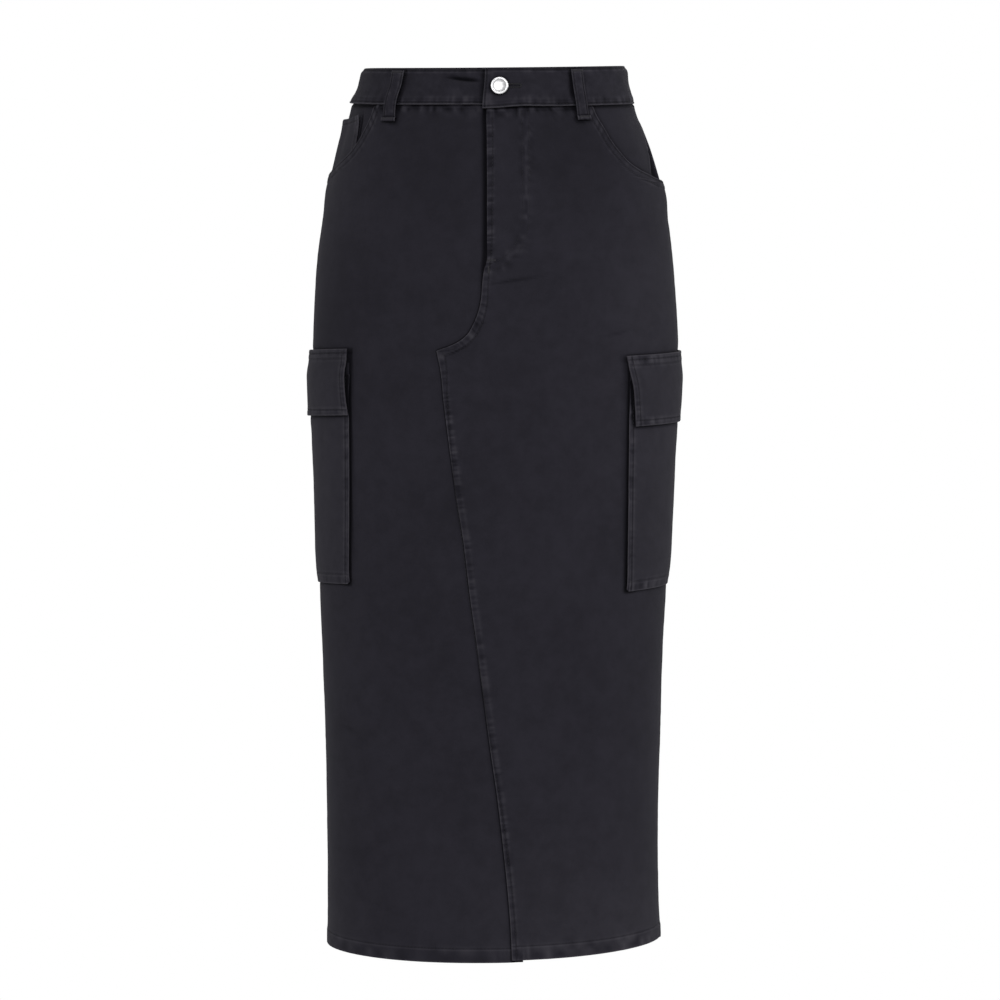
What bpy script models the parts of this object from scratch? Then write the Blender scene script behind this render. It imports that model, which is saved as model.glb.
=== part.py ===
"""Cargo utility skirt in cotton twill: a long straight skirt, filled out as when it is worn.

Every piece that is cut and sewn is one wall of cloth laid on one body surface. A place on that
surface has two pattern sizes, both in millimetres:
  along  the distance round the body from the centre front, + towards the wearer's left (+X)
  drop   the distance below the middle of the waistband, measured at the side
A third size, out, is how far a point stands off the panels' outer face. The front faces -Y.
"""
from collections import namedtuple

import bpy
from mathutils import Vector
import numpy as np

MM = 0.001

# Cloth: how thick each kind of piece is
PANEL_CLOTH = 1.5
FACING_CLOTH = 1.2
POCKET_CLOTH = 1.1
GUSSET_CLOTH = 1.0
FLAP_CLOTH = 2.1
BAND_CLOTH = 2.4
LOOP_CLOTH = 1.4

# Room between two pieces: side by side at a seam, and one above the other
SEAM_GAP = 0.3
LAYER_GAP = 0.4

# The body surface, a ring at each drop. Widths and depths run from the ring's middle; dip is how
# much lower the front is than the sides, rise how much higher the back is, lean how much lower the
# wearer's right side hangs, and sway how far the ring is moved towards the wearer's left.
Section = namedtuple("Section", "drop half_width front back sway dip rise lean")
SECTIONS = (
    Section(-19, 132.4, 95.2, 96.0, 0.2, 12, 10, 0.0),
    Section(0, 134.4, 98.4, 100.5, -0.6, 12, 10, 0.0),
    Section(8, 137.4, 99.8, 102.5, -1.4, 12, 10, 0.0),
    Section(17, 140.6, 101.4, 105.0, -1.9, 12, 10, 0.0),
    Section(29, 143.6, 103.6, 108.5, -1.8, 12, 10, 0.0),
    Section(44, 149.4, 106.4, 113.0, -1.0, 12, 10, 0.0),
    Section(64, 156.2, 109, 119, -0.3, 12, 10, 0.0),
    Section(84, 161.8, 111, 123, 0.2, 12, 9, 0.0),
    Section(104, 167.0, 112, 126, 0.5, 12, 9, 0.0),
    Section(134, 173.2, 113, 130, 0.5, 12, 8, 0.0),
    Section(174, 178.0, 114, 133, 0.5, 12, 8, 0.0),
    Section(214, 180.8, 114, 133, 0.8, 12, 7, 0.2),
    Section(254, 182.6, 114, 132, 1.1, 12, 7, 0.3),
    Section(294, 181.8, 114, 129, 0.8, 12, 6, 0.5),
    Section(334, 179.8, 114, 127, 0.3, 12, 6, 0.7),
    Section(404, 176.6, 114, 122, -0.2, 12, 5, 1.0),
    Section(504, 172.8, 113, 117, -1.3, 12, 4, 1.4),
    Section(564, 169.8, 112, 115, -1.9, 12, 4, 1.7),
    Section(644, 167.0, 111, 113, -1.7, 12, 3, 2.0),
    Section(724, 165.2, 110, 111, -1.7, 12, 3, 2.3),
    Section(804, 165.4, 110, 111, -1.2, 12, 3, 2.5),
    Section(860, 166.6, 110, 112, -0.4, 12, 3, 2.5),
)
SQUARENESS = 2.15  # 2 makes each ring an ellipse, more makes it squarer
ROW_STEP = 2.0  # the surface is tabled at this step down the skirt
ROUND_STEPS = 1200  # and at this many places round each ring

# Waistband
BAND_TOP = -19.0
BAND_OUT = 0.8  # its outer face, above the panels'
BAND_SEAM_RIGHT = 16.5  # drop of its lower edge on the wearer's right
BAND_SEAM_LEFT = 19.0  # and on the wearer's left
BAND_END_SAG = 2.2  # the lapping end hangs this much lower
BAND_END_SAG_LENGTH = 40.0
LAP_END = -1.0  # along, where the lapping end stops
UNDERLAP_END = 34.0  # along, where the end beneath it stops
LAP_RAMP = 30.0  # cloth over which the lapping end comes down to the body

# The edge where the wearer's left front laps over the right front, from the waistband down: the
# fly, its curve towards the wearer's right, then a long slant back across the front to the hem.
Edge = namedtuple("Edge", "drop along")
FLY_ALONG = 2.9
FLY_WAVER = 1.0  # near the waistband the fly's edge stays within this of it
FLY_EDGE = (
    Edge(10, FLY_ALONG),
    Edge(60, 2.1),
    Edge(110, 1.7),
    Edge(150, 1.5),
    Edge(163, 0.9),
    Edge(176, -0.9),
    Edge(192, -2.9),
    Edge(208, -4.4),
    Edge(222, -8.0),
    Edge(232, -12.4),
    Edge(242, -18.8),
    Edge(249, -28.0),
    Edge(253.5, -38.0),
    Edge(257, -48.6),
)
SLANT_EDGE = (
    Edge(257, -48.6),
    Edge(276, -44.4),
    Edge(305, -41.0),
    Edge(354, -34.3),
    Edge(402, -27.2),
    Edge(441, -20.6),
    Edge(499, -12.8),
    Edge(548, -5.4),
    Edge(596, 0.8),
    Edge(645, 7.0),
    Edge(694, 14.0),
    Edge(742, 19.5),
    Edge(790, 24.0),
    Edge(815, 25.7),
    Edge(860, 27.0),
)
FLY_LIFT = 1.4  # the fly's edge stands this much off the front beneath it
FLY_LIFT_WIDTH = 40.0
FLY_LIFT_ENDS = (130.0, 215.0)  # drops between which the lift fades away

HEM_LEFT_FRONT = 850.5
HEM_RIGHT_FRONT = 852.5
HEM_BACK = 852.0

# Scooped hip pockets: how far in front of the side seam the front panel's edge lies
Scoop = namedtuple("Scoop", "drop reach")
SCOOP_LEFT = (
    Scoop(15, 84.5),
    Scoop(42, 81.0),
    Scoop(55, 78.5),
    Scoop(66, 73.0),
    Scoop(76, 65.0),
    Scoop(84, 52.0),
    Scoop(90, 34.0),
    Scoop(95, 14.0),
    Scoop(98, 0.0),
)
SCOOP_RIGHT = (
    Scoop(12, 75.5),
    Scoop(41, 72.0),
    Scoop(55, 67.0),
    Scoop(65, 58.5),
    Scoop(73, 46.0),
    Scoop(80, 29.0),
    Scoop(86, 12.0),
    Scoop(90, 0.0),
)
SCOOP_LIFT = 2.8  # the front panel gapes this much where the scoop ends at the side seam
SCOOP_LIFT_WIDTH = 34.0
SCOOP_LIFT_FADE = 32.0

# Hip facings, the cloth that shows inside each scoop
FACING_UNDER = 12.0  # how far it runs on beneath the front panel
FACING_BELOW = 10.0  # how far it runs on below the scoop's end
FACING_SHORTEST = 26.0
FACING_RISE_WIDTH = 30.0
# sunk: how far its outer face lies below the panels', and seam: the same at the side seam
Facing = namedtuple("Facing", "sunk seam")
FACING_LEFT = Facing(2.0, 0.0)
FACING_RIGHT = Facing(3.5, 1.1)

# Coin pocket, on the wearer's right facing
COIN_BACK = 2.0  # in front of the side seam
COIN_FRONT = (Scoop(27, 53.5), Scoop(40, 58.8), Scoop(55, 63.5), Scoop(95, 66.0))  # its front edge
COIN_TOP = (34.0, 27.0)  # drop of its mouth at the side seam and at its front corner
COIN_BOTTOM = 95.0

# Cargo pockets, one over each side seam. Drops are at the side seam; front_rise is how much higher
# the front edge is than the seam; the shifts are how far the pocket's middle lies behind the seam.
Pocket = namedtuple(
    "Pocket", "flap_top flap_bottom mouth bottom front_rise shift_top shift_bottom flap_out"
)
POCKET_LEFT = Pocket(265.5, 335.5, 290.0, 498.0, 0.0, -6.5, 3.6, 3.4)
POCKET_RIGHT = Pocket(262.5, 328.0, 288.0, 494.0, 5.5, -8.8, 0.2, 4.0)
POCKET_HALF = 89.0
POCKET_CORNER = 4.0  # the lower corners are cut back by this much
GUSSET_OUT = LAYER_GAP + GUSSET_CLOTH  # its outer face, and below it the pocket's
POCKET_OUT = GUSSET_OUT + LAYER_GAP + POCKET_CLOTH
GUSSET_WIDTH = 10.0
GUSSET_START = 14.0  # below the flap's top
# The flaps' outlines, from the top down: their half width in front of and behind the pocket's middle
FlapEdge = namedtuple("FlapEdge", "share front back")
FLAP_LEFT = (
    FlapEdge(0.0, 92.0, 94.0),
    FlapEdge(0.25, 89.8, 92.8),
    FlapEdge(0.5, 86.6, 90.5),
    FlapEdge(0.75, 84.6, 88.5),
    FlapEdge(1.0, 82.6, 87.0),
)
FLAP_RIGHT = (
    FlapEdge(0.0, 84.8, 94.0),
    FlapEdge(0.2, 86.3, 93.0),
    FlapEdge(0.4, 86.2, 91.2),
    FlapEdge(0.6, 87.0, 89.6),
    FlapEdge(0.8, 88.2, 88.2),
    FlapEdge(1.0, 90.2, 87.0),
)
FLAP_RAMP = 28.0  # over this depth the flap rises from the panel onto the pocket

# Belt loops. top and foot say how far round each end is, as a share of the half girth.
Loop = namedtuple("Loop", "name top foot width")
LOOPS = (
    Loop("belt_loop_front_left", 0.2445, 0.2485, 12.6),
    Loop("belt_loop_front_right", -0.2475, -0.2450, 14.4),
    Loop("belt_loop_back_left", 0.735, 0.745, 13.2),
    Loop("belt_loop_back_right", -0.735, -0.745, 13.2),
    Loop("belt_loop_centre_back", 1.0, 1.0, 13.2),
)
# How far the loop's inner face stands off the panels, from its top to its foot
Stand = namedtuple("Stand", "drop out")
LOOP_STAND = (
    Stand(-17.0, 1.2),
    Stand(-11.0, 2.5),
    Stand(-2.0, 3.2),
    Stand(8.0, 3.3),
    Stand(17.0, 2.8),
    Stand(24.0, 1.6),
    Stand(29.0, 0.6),
    Stand(33.5, 0.4),
)

# Button, a plain domed tack button
BUTTON_ALONG = 13.9
BUTTON_DROP = -1.0
Turn = namedtuple("Turn", "radius height")
BUTTON_PROFILE = (
    Turn(8.2, 0.0),
    Turn(8.7, 0.5),
    Turn(8.7, 1.2),
    Turn(8.1, 1.8),
    Turn(7.2, 1.7),
    Turn(6.2, 2.0),
    Turn(4.0, 2.4),
    Turn(2.0, 2.6),
)
BUTTON_SIDES = 28

# How finely the walls are meshed: the step across a piece, on its flat front and round the side
STEP_FLAT = 25.0
STEP_ROUND = 10.0
ROUND_ZONE = 100.0  # the finer step is used this far from the side seam
STEP_DOWN = 60.0  # the step down the panels, below the pockets
STEP_POCKET = 23.0
POCKET_ROWS = (272.0, 500.0)  # the panels have rows at the pockets' step between these drops
FRONT_ROWS = [30.0, 110.0, 132.0]
BACK_ROWS = [30.0, 50.0, 74.0, 102.0, 134.0, 168.0, 204.0, 240.0]
FACING_ROWS_START = 28.0
FACING_COLUMNS = 10
COIN_COLUMNS = 7
COIN_ROWS = 8
BAND_ROWS = 4
LOOP_STEP = 4.3
FLAP_ROWS = (0.0, 0.08, 0.16, 0.24, 0.32, 0.42, 0.56, 0.78, 1.0)

BLACK_TWILL = (0.018, 0.017, 0.021, 1.0)
TWILL_ROUGHNESS = 0.85
BUTTON_METAL = (0.62, 0.62, 0.63, 1.0)
BUTTON_ROUGHNESS = 0.32


# ---------------------------------------------------------------- the body surface


def smooth(at, xs, ys):
    """The smooth curve through a table's points, read at the places in at."""
    xs, ys = np.asarray(xs, float), np.asarray(ys, float)
    step = np.diff(xs)
    climb = np.diff(ys) / step
    slope = np.concatenate([climb[:1], climb[:-1], climb[-1:]])
    slope[1:-1] = (climb[:-1] * step[1:] + climb[1:] * step[:-1]) / (step[:-1] + step[1:])
    at = np.clip(np.asarray(at, float), xs[0], xs[-1])
    k = np.clip(np.searchsorted(xs, at, side="right") - 1, 0, len(step) - 1)
    t = (at - xs[k]) / step[k]
    from_start = (1 + 2 * t) * (1 - t) ** 2 * ys[k] + t * (1 - t) ** 2 * step[k] * slope[k]
    to_end = t * t * (3 - 2 * t) * ys[k + 1] - t * t * (1 - t) * step[k] * slope[k + 1]
    return from_start + to_end


def ease(t):
    """0 to 1 with level ends, as t goes from 0 to 1."""
    t = np.clip(t, 0.0, 1.0)
    return t * t * (3 - 2 * t)


def section(drop, column):
    return smooth(drop, [row.drop for row in SECTIONS], [getattr(row, column) for row in SECTIONS])


def ring(drop, angle):
    """Points of the ring at one drop. Angle 0 is the centre front, a quarter turn the left side."""
    power = 2 / SQUARENESS
    sideways = np.sign(np.sin(angle)) * np.abs(np.sin(angle)) ** power
    ahead = np.sign(np.cos(angle)) * np.abs(np.cos(angle)) ** power
    depth = np.where(ahead > 0, section(drop, "front"), section(drop, "back"))
    dip, rise = section(drop, "dip"), section(drop, "rise")
    lowered = (dip + rise) / 2 * ahead + (dip - rise) / 2 * ahead**2
    return np.stack(
        [
            section(drop, "half_width") * sideways + section(drop, "sway"),
            -depth * ahead,
            -drop - lowered + section(drop, "lean") * sideways,
        ],
        axis=1,
    )


def table_surface():
    """The rings' drops, their half girths, the way round to the side seam, and their points."""
    drops = np.arange(SECTIONS[0].drop - ROW_STEP, SECTIONS[-1].drop + ROW_STEP, ROW_STEP)
    angle = np.linspace(-np.pi, np.pi, ROUND_STEPS + 1)
    half_girths, sides, points = [], [], []
    for drop in drops:
        circuit = ring(drop, angle)
        along = np.concatenate(
            [[0], np.cumsum(np.linalg.norm(np.diff(circuit[:, :2], axis=0), axis=1))]
        )
        along -= along[-1] / 2
        half_girths.append(along[-1])
        sides.append(np.interp(np.pi / 2, angle, along))
        even = np.linspace(along[0], along[-1], ROUND_STEPS + 1)
        points.append(np.stack([np.interp(even, along, circuit[:, k]) for k in range(3)], axis=1))
    return drops, np.array(half_girths), np.array(sides), np.array(points)


RING_DROPS, RING_HALVES, RING_SIDES, RING_POINTS = table_surface()


def half_girth(drop):
    return np.interp(drop, RING_DROPS, RING_HALVES)


def side(drop):
    """How far round from the centre front the side seam is."""
    return np.interp(drop, RING_DROPS, RING_SIDES)


def body_point(along, drop):
    """Where a pattern place lies on the body surface, in millimetres."""
    along, drop = np.broadcast_arrays(np.asarray(along, float), np.asarray(drop, float))
    across = (along / half_girth(drop) + 1) % 2 * ROUND_STEPS / 2
    down = np.clip((drop - RING_DROPS[0]) / ROW_STEP, 0, len(RING_DROPS) - 1.001)
    i = down.astype(int)
    j = np.minimum(across.astype(int), ROUND_STEPS - 1)
    below, right = (down - i)[..., None], (across - j)[..., None]
    upper = RING_POINTS[i, j] * (1 - right) + RING_POINTS[i, j + 1] * right
    lower = RING_POINTS[i + 1, j] * (1 - right) + RING_POINTS[i + 1, j + 1] * right
    return upper * (1 - below) + lower * below


def outward(along, drop):
    """The direction straight out of the body surface."""
    across = body_point(along + 1.0, drop) - body_point(along - 1.0, drop)
    down = body_point(along, drop + 1.0) - body_point(along, drop - 1.0)
    normal = np.cross(down, across)
    return normal / np.linalg.norm(normal, axis=-1, keepdims=True)


def place(along, drop, out):
    """Points in metres for pattern places, each standing off the surface by out."""
    along, drop, out = np.broadcast_arrays(*(np.asarray(v, float) for v in (along, drop, out)))
    return MM * (body_point(along, drop) + outward(along, drop) * out[..., None])


# ---------------------------------------------------------------- seams and edges


def overlap_edge(drop):
    """Along, where the left front's lapping edge lies."""
    fly = smooth(drop, [e.drop for e in FLY_EDGE], [e.along for e in FLY_EDGE])
    slant = smooth(drop, [e.drop for e in SLANT_EDGE], [e.along for e in SLANT_EDGE])
    return np.where(np.asarray(drop) < SLANT_EDGE[0].drop, fly, slant)


def way_round(along):
    """The way round to a place on the waistband's seam, from the centre front by the left side."""
    return np.where(along < FLY_ALONG - FLY_WAVER, along + 2 * half_girth(BAND_SEAM_RIGHT), along)


def band_seam(way):
    """Drop of the waistband's lower edge. Its two depths meet gradually across the back."""
    middle, corner = half_girth(BAND_SEAM_RIGHT), side(BAND_SEAM_RIGHT)
    behind = ease((way - corner) / (2 * (middle - corner)))
    sag = BAND_END_SAG * (1 - ease(way / BAND_END_SAG_LENGTH))
    return BAND_SEAM_LEFT + (BAND_SEAM_RIGHT - BAND_SEAM_LEFT) * behind + sag


def scoop_reach(table, drop):
    """How far in front of the side seam the scoop's edge lies, 0 below its end."""
    reach = smooth(drop, [row.drop for row in table], [row.reach for row in table])
    return np.where(np.asarray(drop) < table[-1].drop, np.maximum(reach, 0.0), 0.0)


def scoop_lift(table, from_side, drop):
    """How far the front panel stands off the facing near the scoop's end."""
    width = 1 - ease(from_side / SCOOP_LIFT_WIDTH)
    end = table[-1].drop + FACING_BELOW
    return SCOOP_LIFT * width * (1 - ease((drop - end) / SCOOP_LIFT_FADE))


def fly_lift(along, drop):
    width = 1 - ease((along - overlap_edge(drop)) / FLY_LIFT_WIDTH)
    start, end = FLY_LIFT_ENDS
    return FLY_LIFT * width * (1 - ease((drop - start) / (end - start)))


# ---------------------------------------------------------------- making solids


def material(name, colour, roughness, metallic=0.0):
    made = bpy.data.materials.new(name)
    made.use_nodes = True
    shader = made.node_tree.nodes["Principled BSDF"]
    shader.inputs["Base Color"].default_value = colour
    shader.inputs["Roughness"].default_value = roughness
    shader.inputs["Metallic"].default_value = metallic
    return made


def add_object(name, points, faces, made_of):
    mesh = bpy.data.meshes.new(name)
    mesh.from_pydata([tuple(p) for p in points], [], faces)
    mesh.shade_smooth()
    mesh.set_sharp_from_angle(angle=np.radians(40))
    mesh.materials.append(made_of)
    made = bpy.data.objects.new(name, mesh)
    bpy.context.collection.objects.link(made)
    return made


HALVES = (((0, 1, 2), (0, 2, 3)), ((0, 1, 3), (1, 2, 3)))  # a cell's two ways into triangles


def cloth(name, along, drop, out, thickness, kept=None):
    """A wall of cloth on a net of pattern places, rows down the piece and columns along it.

    Each cell is split along its shorter diagonal, so that the wall keeps to the body's curve.

    kept says which of the net's cells are cloth; all of them where it is left out.
    """
    along, drop, out = np.broadcast_arrays(along, drop, out)
    rows, columns = along.shape
    outer = place(along, drop, out).reshape(-1, 3)
    inner = place(along, drop, out - thickness).reshape(-1, 3)
    if kept is None:
        kept = np.ones((rows - 1, columns - 1), bool)
    padded = np.pad(kept, 1)
    shift = rows * columns
    faces = []
    for i, j in zip(*np.nonzero(kept)):
        top, below = i * columns + j, (i + 1) * columns + j
        corner = (top, below, below + 1, top + 1)
        beyond = (padded[i + 1, j], padded[i + 2, j + 1], padded[i + 1, j + 2], padded[i, j + 1])
        one_way = np.linalg.norm(outer[corner[0]] - outer[corner[2]])
        other_way = np.linalg.norm(outer[corner[1]] - outer[corner[3]])
        for pick in HALVES[0] if one_way <= other_way else HALVES[1]:
            faces.append(tuple(corner[k] for k in pick))
            faces.append(tuple(shift + corner[k] for k in reversed(pick)))
        for k, filled in enumerate(beyond):
            start, end = corner[k], corner[(k + 1) % 4]
            if not filled:
                faces.append((end, start, shift + start, shift + end))
    points = np.concatenate([outer, inner])
    used = np.unique(np.array([c for face in faces for c in face]))
    renumber = {old: new for new, old in enumerate(used)}
    faces = [tuple(renumber[c] for c in face) for face in faces]
    made_of = material(name + "_twill", BLACK_TWILL, TWILL_ROUGHNESS)
    return add_object(name, points[used], faces, made_of)


def turned(name, profile, sides, made_of):
    """A solid turned round its own Z axis from a profile that runs up its outside."""
    angle = np.arange(sides) / sides * 2 * np.pi
    points = [(0.0, 0.0, profile[0].height * MM)]
    for turn in profile:
        for a in angle:
            points.append((turn.radius * np.cos(a) * MM, turn.radius * np.sin(a) * MM, turn.height * MM))
    points.append((0.0, 0.0, profile[-1].height * MM))
    faces = []
    for j in range(sides):
        step = (j + 1) % sides
        faces.append((0, 1 + step, 1 + j))
        for i in range(len(profile) - 1):
            low, high = 1 + i * sides, 1 + (i + 1) * sides
            faces.append((low + j, low + step, high + step, high + j))
        last = 1 + (len(profile) - 1) * sides
        faces.append((last + j, last + step, len(points) - 1))
    return add_object(name, points, faces, made_of)


def steps_between(start, end, step):
    return np.linspace(start, end, max(2, int(np.ceil(abs(end - start) / step)) + 1))


def net_between(near, far, share, drops):
    """Pattern places for rows that run from near to far, each a function of drop.

    The first row follows the waistband's seam, and the others lie at the drops that are given.
    """
    drop = np.repeat(np.append(BAND_SEAM_LEFT, drops)[:, None], len(share), axis=1)
    along = near(drop) + (far(drop) - near(drop)) * share
    drop[0] = band_seam(way_round(along[0])) + SEAM_GAP / 2
    along[0] = near(drop[0]) + (far(drop[0]) - near(drop[0])) * share
    return along, drop


def panel_shares(near, far, drops, fine_first=False):
    """Where a panel's columns lie, from 0 to 1, closer together beside the side seam."""
    width = np.abs(far(drops) - near(drops)).max()
    coarse = steps_between(0.0, 1 - ROUND_ZONE / width, STEP_FLAT / width)
    fine = steps_between(1 - ROUND_ZONE / width, 1.0, STEP_ROUND / width)
    share = np.concatenate([coarse[:-1], fine])
    return 1 - share[::-1] if fine_first else share


def lower_rows(hem):
    """Drops of a panel's rows from the cargo pockets down to the hem."""
    start, end = POCKET_ROWS
    return list(steps_between(start, end, STEP_POCKET)) + list(steps_between(end, hem, STEP_DOWN))[1:]


# ---------------------------------------------------------------- panels and facings


def front_drops(scoop, hem):
    """Drops of a front panel's rows, below its top edge."""
    scoop_rows = [row.drop for row in scoop[1:]]
    fly_rows = [edge.drop for edge in FLY_EDGE[1:]]
    rows = set(scoop_rows + fly_rows + FRONT_ROWS + lower_rows(hem))
    return np.array(sorted(rows))


def front_left_panel():
    def near(drop):
        return overlap_edge(drop) + SEAM_GAP / 2

    def far(drop):
        return side(drop) - scoop_reach(SCOOP_LEFT, drop) - SEAM_GAP / 2

    drops = front_drops(SCOOP_LEFT, HEM_LEFT_FRONT)
    along, drop = net_between(near, far, panel_shares(near, far, drops), drops)
    lift = scoop_lift(SCOOP_LEFT, side(drop) - along, drop) + fly_lift(along, drop)
    return cloth("front_left_panel", along, drop, lift, PANEL_CLOTH)


def front_right_panel():
    def near(drop):
        return scoop_reach(SCOOP_RIGHT, drop) - side(drop) + SEAM_GAP / 2

    def far(drop):
        return overlap_edge(drop) - SEAM_GAP / 2

    drops = front_drops(SCOOP_RIGHT, HEM_RIGHT_FRONT)
    share = panel_shares(near, far, drops, fine_first=True)
    along, drop = net_between(near, far, share, drops)
    lift = scoop_lift(SCOOP_RIGHT, side(drop) + along, drop)
    return cloth("front_right_panel", along, drop, lift, PANEL_CLOTH)


def back_left_panel():
    def near(drop):
        return side(drop) + SEAM_GAP / 2

    def far(drop):
        return half_girth(drop) - SEAM_GAP / 2

    drops = np.array(BACK_ROWS + lower_rows(HEM_BACK))
    share = panel_shares(near, far, drops, fine_first=True)
    return cloth("back_left_panel", *net_between(near, far, share, drops), 0.0, PANEL_CLOTH)


def back_right_panel():
    def near(drop):
        return SEAM_GAP / 2 - half_girth(drop)

    def far(drop):
        return -side(drop) - SEAM_GAP / 2

    drops = np.array(BACK_ROWS + lower_rows(HEM_BACK))
    share = panel_shares(near, far, drops)
    return cloth("back_right_panel", *net_between(near, far, share, drops), 0.0, PANEL_CLOTH)


def facing_out(facing, from_side):
    """How far out the facing's outer face lies, which rises towards the side seam."""
    return -facing.sunk + (facing.sunk - facing.seam) * (1 - ease(from_side / FACING_RISE_WIDTH))


def hip_facing(name, hand, scoop, facing):
    """The facing, from beneath the front panel to the side seam. hand is +1 on the left side."""

    def seam_edge(drop):
        return hand * (side(drop) - SEAM_GAP / 2)

    def hidden_edge(drop):
        reach = np.maximum(scoop_reach(scoop, drop), FACING_SHORTEST) + FACING_UNDER
        return hand * (side(drop) - reach)

    near, far = (hidden_edge, seam_edge)[::hand]
    drops = steps_between(FACING_ROWS_START, scoop[-1].drop + FACING_BELOW, STEP_ROUND)
    along, drop = net_between(near, far, np.linspace(0.0, 1.0, FACING_COLUMNS), drops)
    out = facing_out(facing, side(drop) - np.abs(along))
    return cloth(name, along, drop, out, FACING_CLOTH)


def coin_pocket():
    share = np.linspace(0.0, 1.0, COIN_COLUMNS)[None, :]
    down = np.linspace(0.0, 1.0, COIN_ROWS)[:, None]
    mouth = COIN_TOP[0] + (COIN_TOP[1] - COIN_TOP[0]) * share
    drop = mouth + (COIN_BOTTOM - mouth) * down
    front = smooth(drop, [row.drop for row in COIN_FRONT], [row.reach for row in COIN_FRONT])
    from_side = COIN_BACK + (front - COIN_BACK) * share
    along = from_side - side(drop)
    out = facing_out(FACING_RIGHT, from_side) + LAYER_GAP + POCKET_CLOTH
    return cloth("coin_pocket", along, drop, out, POCKET_CLOTH)


# ---------------------------------------------------------------- waistband, loops and button


def band_face(way):
    """How far out the waistband's outer face lies: its lapping end lies on the end beneath it."""
    lapping = 1 - ease((way - UNDERLAP_END - SEAM_GAP) / LAP_RAMP)
    return BAND_OUT + (BAND_CLOTH + LAYER_GAP) * lapping


def waistband():
    """One strip from its lapping end, round by the left side, and on beneath that end."""
    ramp_end = UNDERLAP_END + LAP_RAMP
    strip_end = 2 * half_girth(0.0) + UNDERLAP_END
    lap = steps_between(LAP_END, ramp_end, STEP_ROUND)
    way = np.concatenate([lap[:-1], steps_between(ramp_end, strip_end, STEP_ROUND)])[None, :]
    down = np.linspace(0.0, 1.0, BAND_ROWS)[:, None]
    drop = BAND_TOP + (band_seam(way) - SEAM_GAP / 2 - BAND_TOP) * down
    along = way * half_girth(drop) / half_girth(0.0)
    return cloth("waistband", along, drop, band_face(way), BAND_CLOTH)


def belt_loop(loop):
    drop = steps_between(LOOP_STAND[0].drop, LOOP_STAND[-1].drop, LOOP_STEP)[:, None]
    down = (drop - drop[0]) / (drop[-1] - drop[0])
    middle = (loop.top + (loop.foot - loop.top) * down) * half_girth(drop)
    along = middle + loop.width * np.array([-0.5, 0.0, 0.5])[None, :]
    stand = smooth(drop, [row.drop for row in LOOP_STAND], [row.out for row in LOOP_STAND])
    return cloth(loop.name, along, drop, stand + LOOP_CLOTH, LOOP_CLOTH)


def button():
    metal = material("button_metal", BUTTON_METAL, BUTTON_ROUGHNESS, metallic=1.0)
    made = turned("button", BUTTON_PROFILE, BUTTON_SIDES, metal)
    seat = band_face(BUTTON_ALONG) + LAYER_GAP
    facing = Vector(outward(np.array(BUTTON_ALONG), np.array(BUTTON_DROP)))
    made.location = place(BUTTON_ALONG, BUTTON_DROP, seat)
    made.rotation_euler = facing.to_track_quat("Z", "Y").to_euler()
    return made


# ---------------------------------------------------------------- cargo pockets


def on_pocket(hand, pocket, across, level):
    """Pattern places for a cargo pocket's own sizes.

    across runs from the pocket's middle towards its back edge, and level is the drop that a place
    has at the middle. The net's columns come out in the order that cloth() takes.
    """
    across, level = np.broadcast_arrays(across, level)
    drop = level + pocket.front_rise * across / POCKET_HALF
    down = (drop - pocket.flap_top) / (pocket.bottom - pocket.flap_top)
    middle = side(drop) + pocket.shift_top + (pocket.shift_bottom - pocket.shift_top) * down
    along = hand * (middle + across)
    return along[:, ::hand], drop[:, ::hand]


def pocket_columns():
    inner_edge = POCKET_HALF - GUSSET_WIDTH
    inside = steps_between(-inner_edge, inner_edge, STEP_ROUND)
    return np.concatenate([[-POCKET_HALF], inside, [POCKET_HALF]])


def pocket_levels(top, pocket, across):
    """Rows of levels from top to the pocket's lower edge, whose corners are cut back."""
    rows = np.append(steps_between(top, pocket.bottom - GUSSET_WIDTH, STEP_POCKET), pocket.bottom)
    level = np.repeat(rows[:, None], len(across), axis=1)
    level[-1, [0, -1]] -= POCKET_CORNER
    return level


def cargo_gusset(name, hand, pocket):
    """The folded strip round the pocket's two sides and its lower edge."""
    across = pocket_columns()
    level = pocket_levels(pocket.flap_top + GUSSET_START, pocket, across)
    along, drop = on_pocket(hand, pocket, across, level)
    kept = np.ones((level.shape[0] - 1, level.shape[1] - 1), bool)
    kept[:-1, 1:-1] = False
    return cloth(name, along, drop, GUSSET_OUT, GUSSET_CLOTH, kept)


def cargo_pocket(name, hand, pocket):
    across = pocket_columns()
    along, drop = on_pocket(hand, pocket, across, pocket_levels(pocket.mouth, pocket, across))
    return cloth(name, along, drop, POCKET_OUT, POCKET_CLOTH)


def cargo_flap(name, hand, pocket):
    """The flap, sewn to the panels at its top and lying on the pocket at its lower edge."""
    depth = (pocket.flap_bottom - pocket.flap_top) * np.array(FLAP_ROWS)[:, None]
    outline = FLAP_LEFT if hand > 0 else FLAP_RIGHT
    front, back = (
        smooth(FLAP_ROWS, [row.share for row in outline], [getattr(row, side_name) for row in outline])
        for side_name in ("front", "back")
    )
    share = np.linspace(0.0, 1.0, len(pocket_columns()))[None, :]
    across = (front + back)[:, None] * share - front[:, None]
    along, drop = on_pocket(hand, pocket, across, pocket.flap_top + depth)
    inner = LAYER_GAP + (pocket.flap_out - LAYER_GAP) * ease(depth / FLAP_RAMP)
    return cloth(name, along, drop, inner + FLAP_CLOTH, FLAP_CLOTH)


# ---------------------------------------------------------------- the whole skirt


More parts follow.
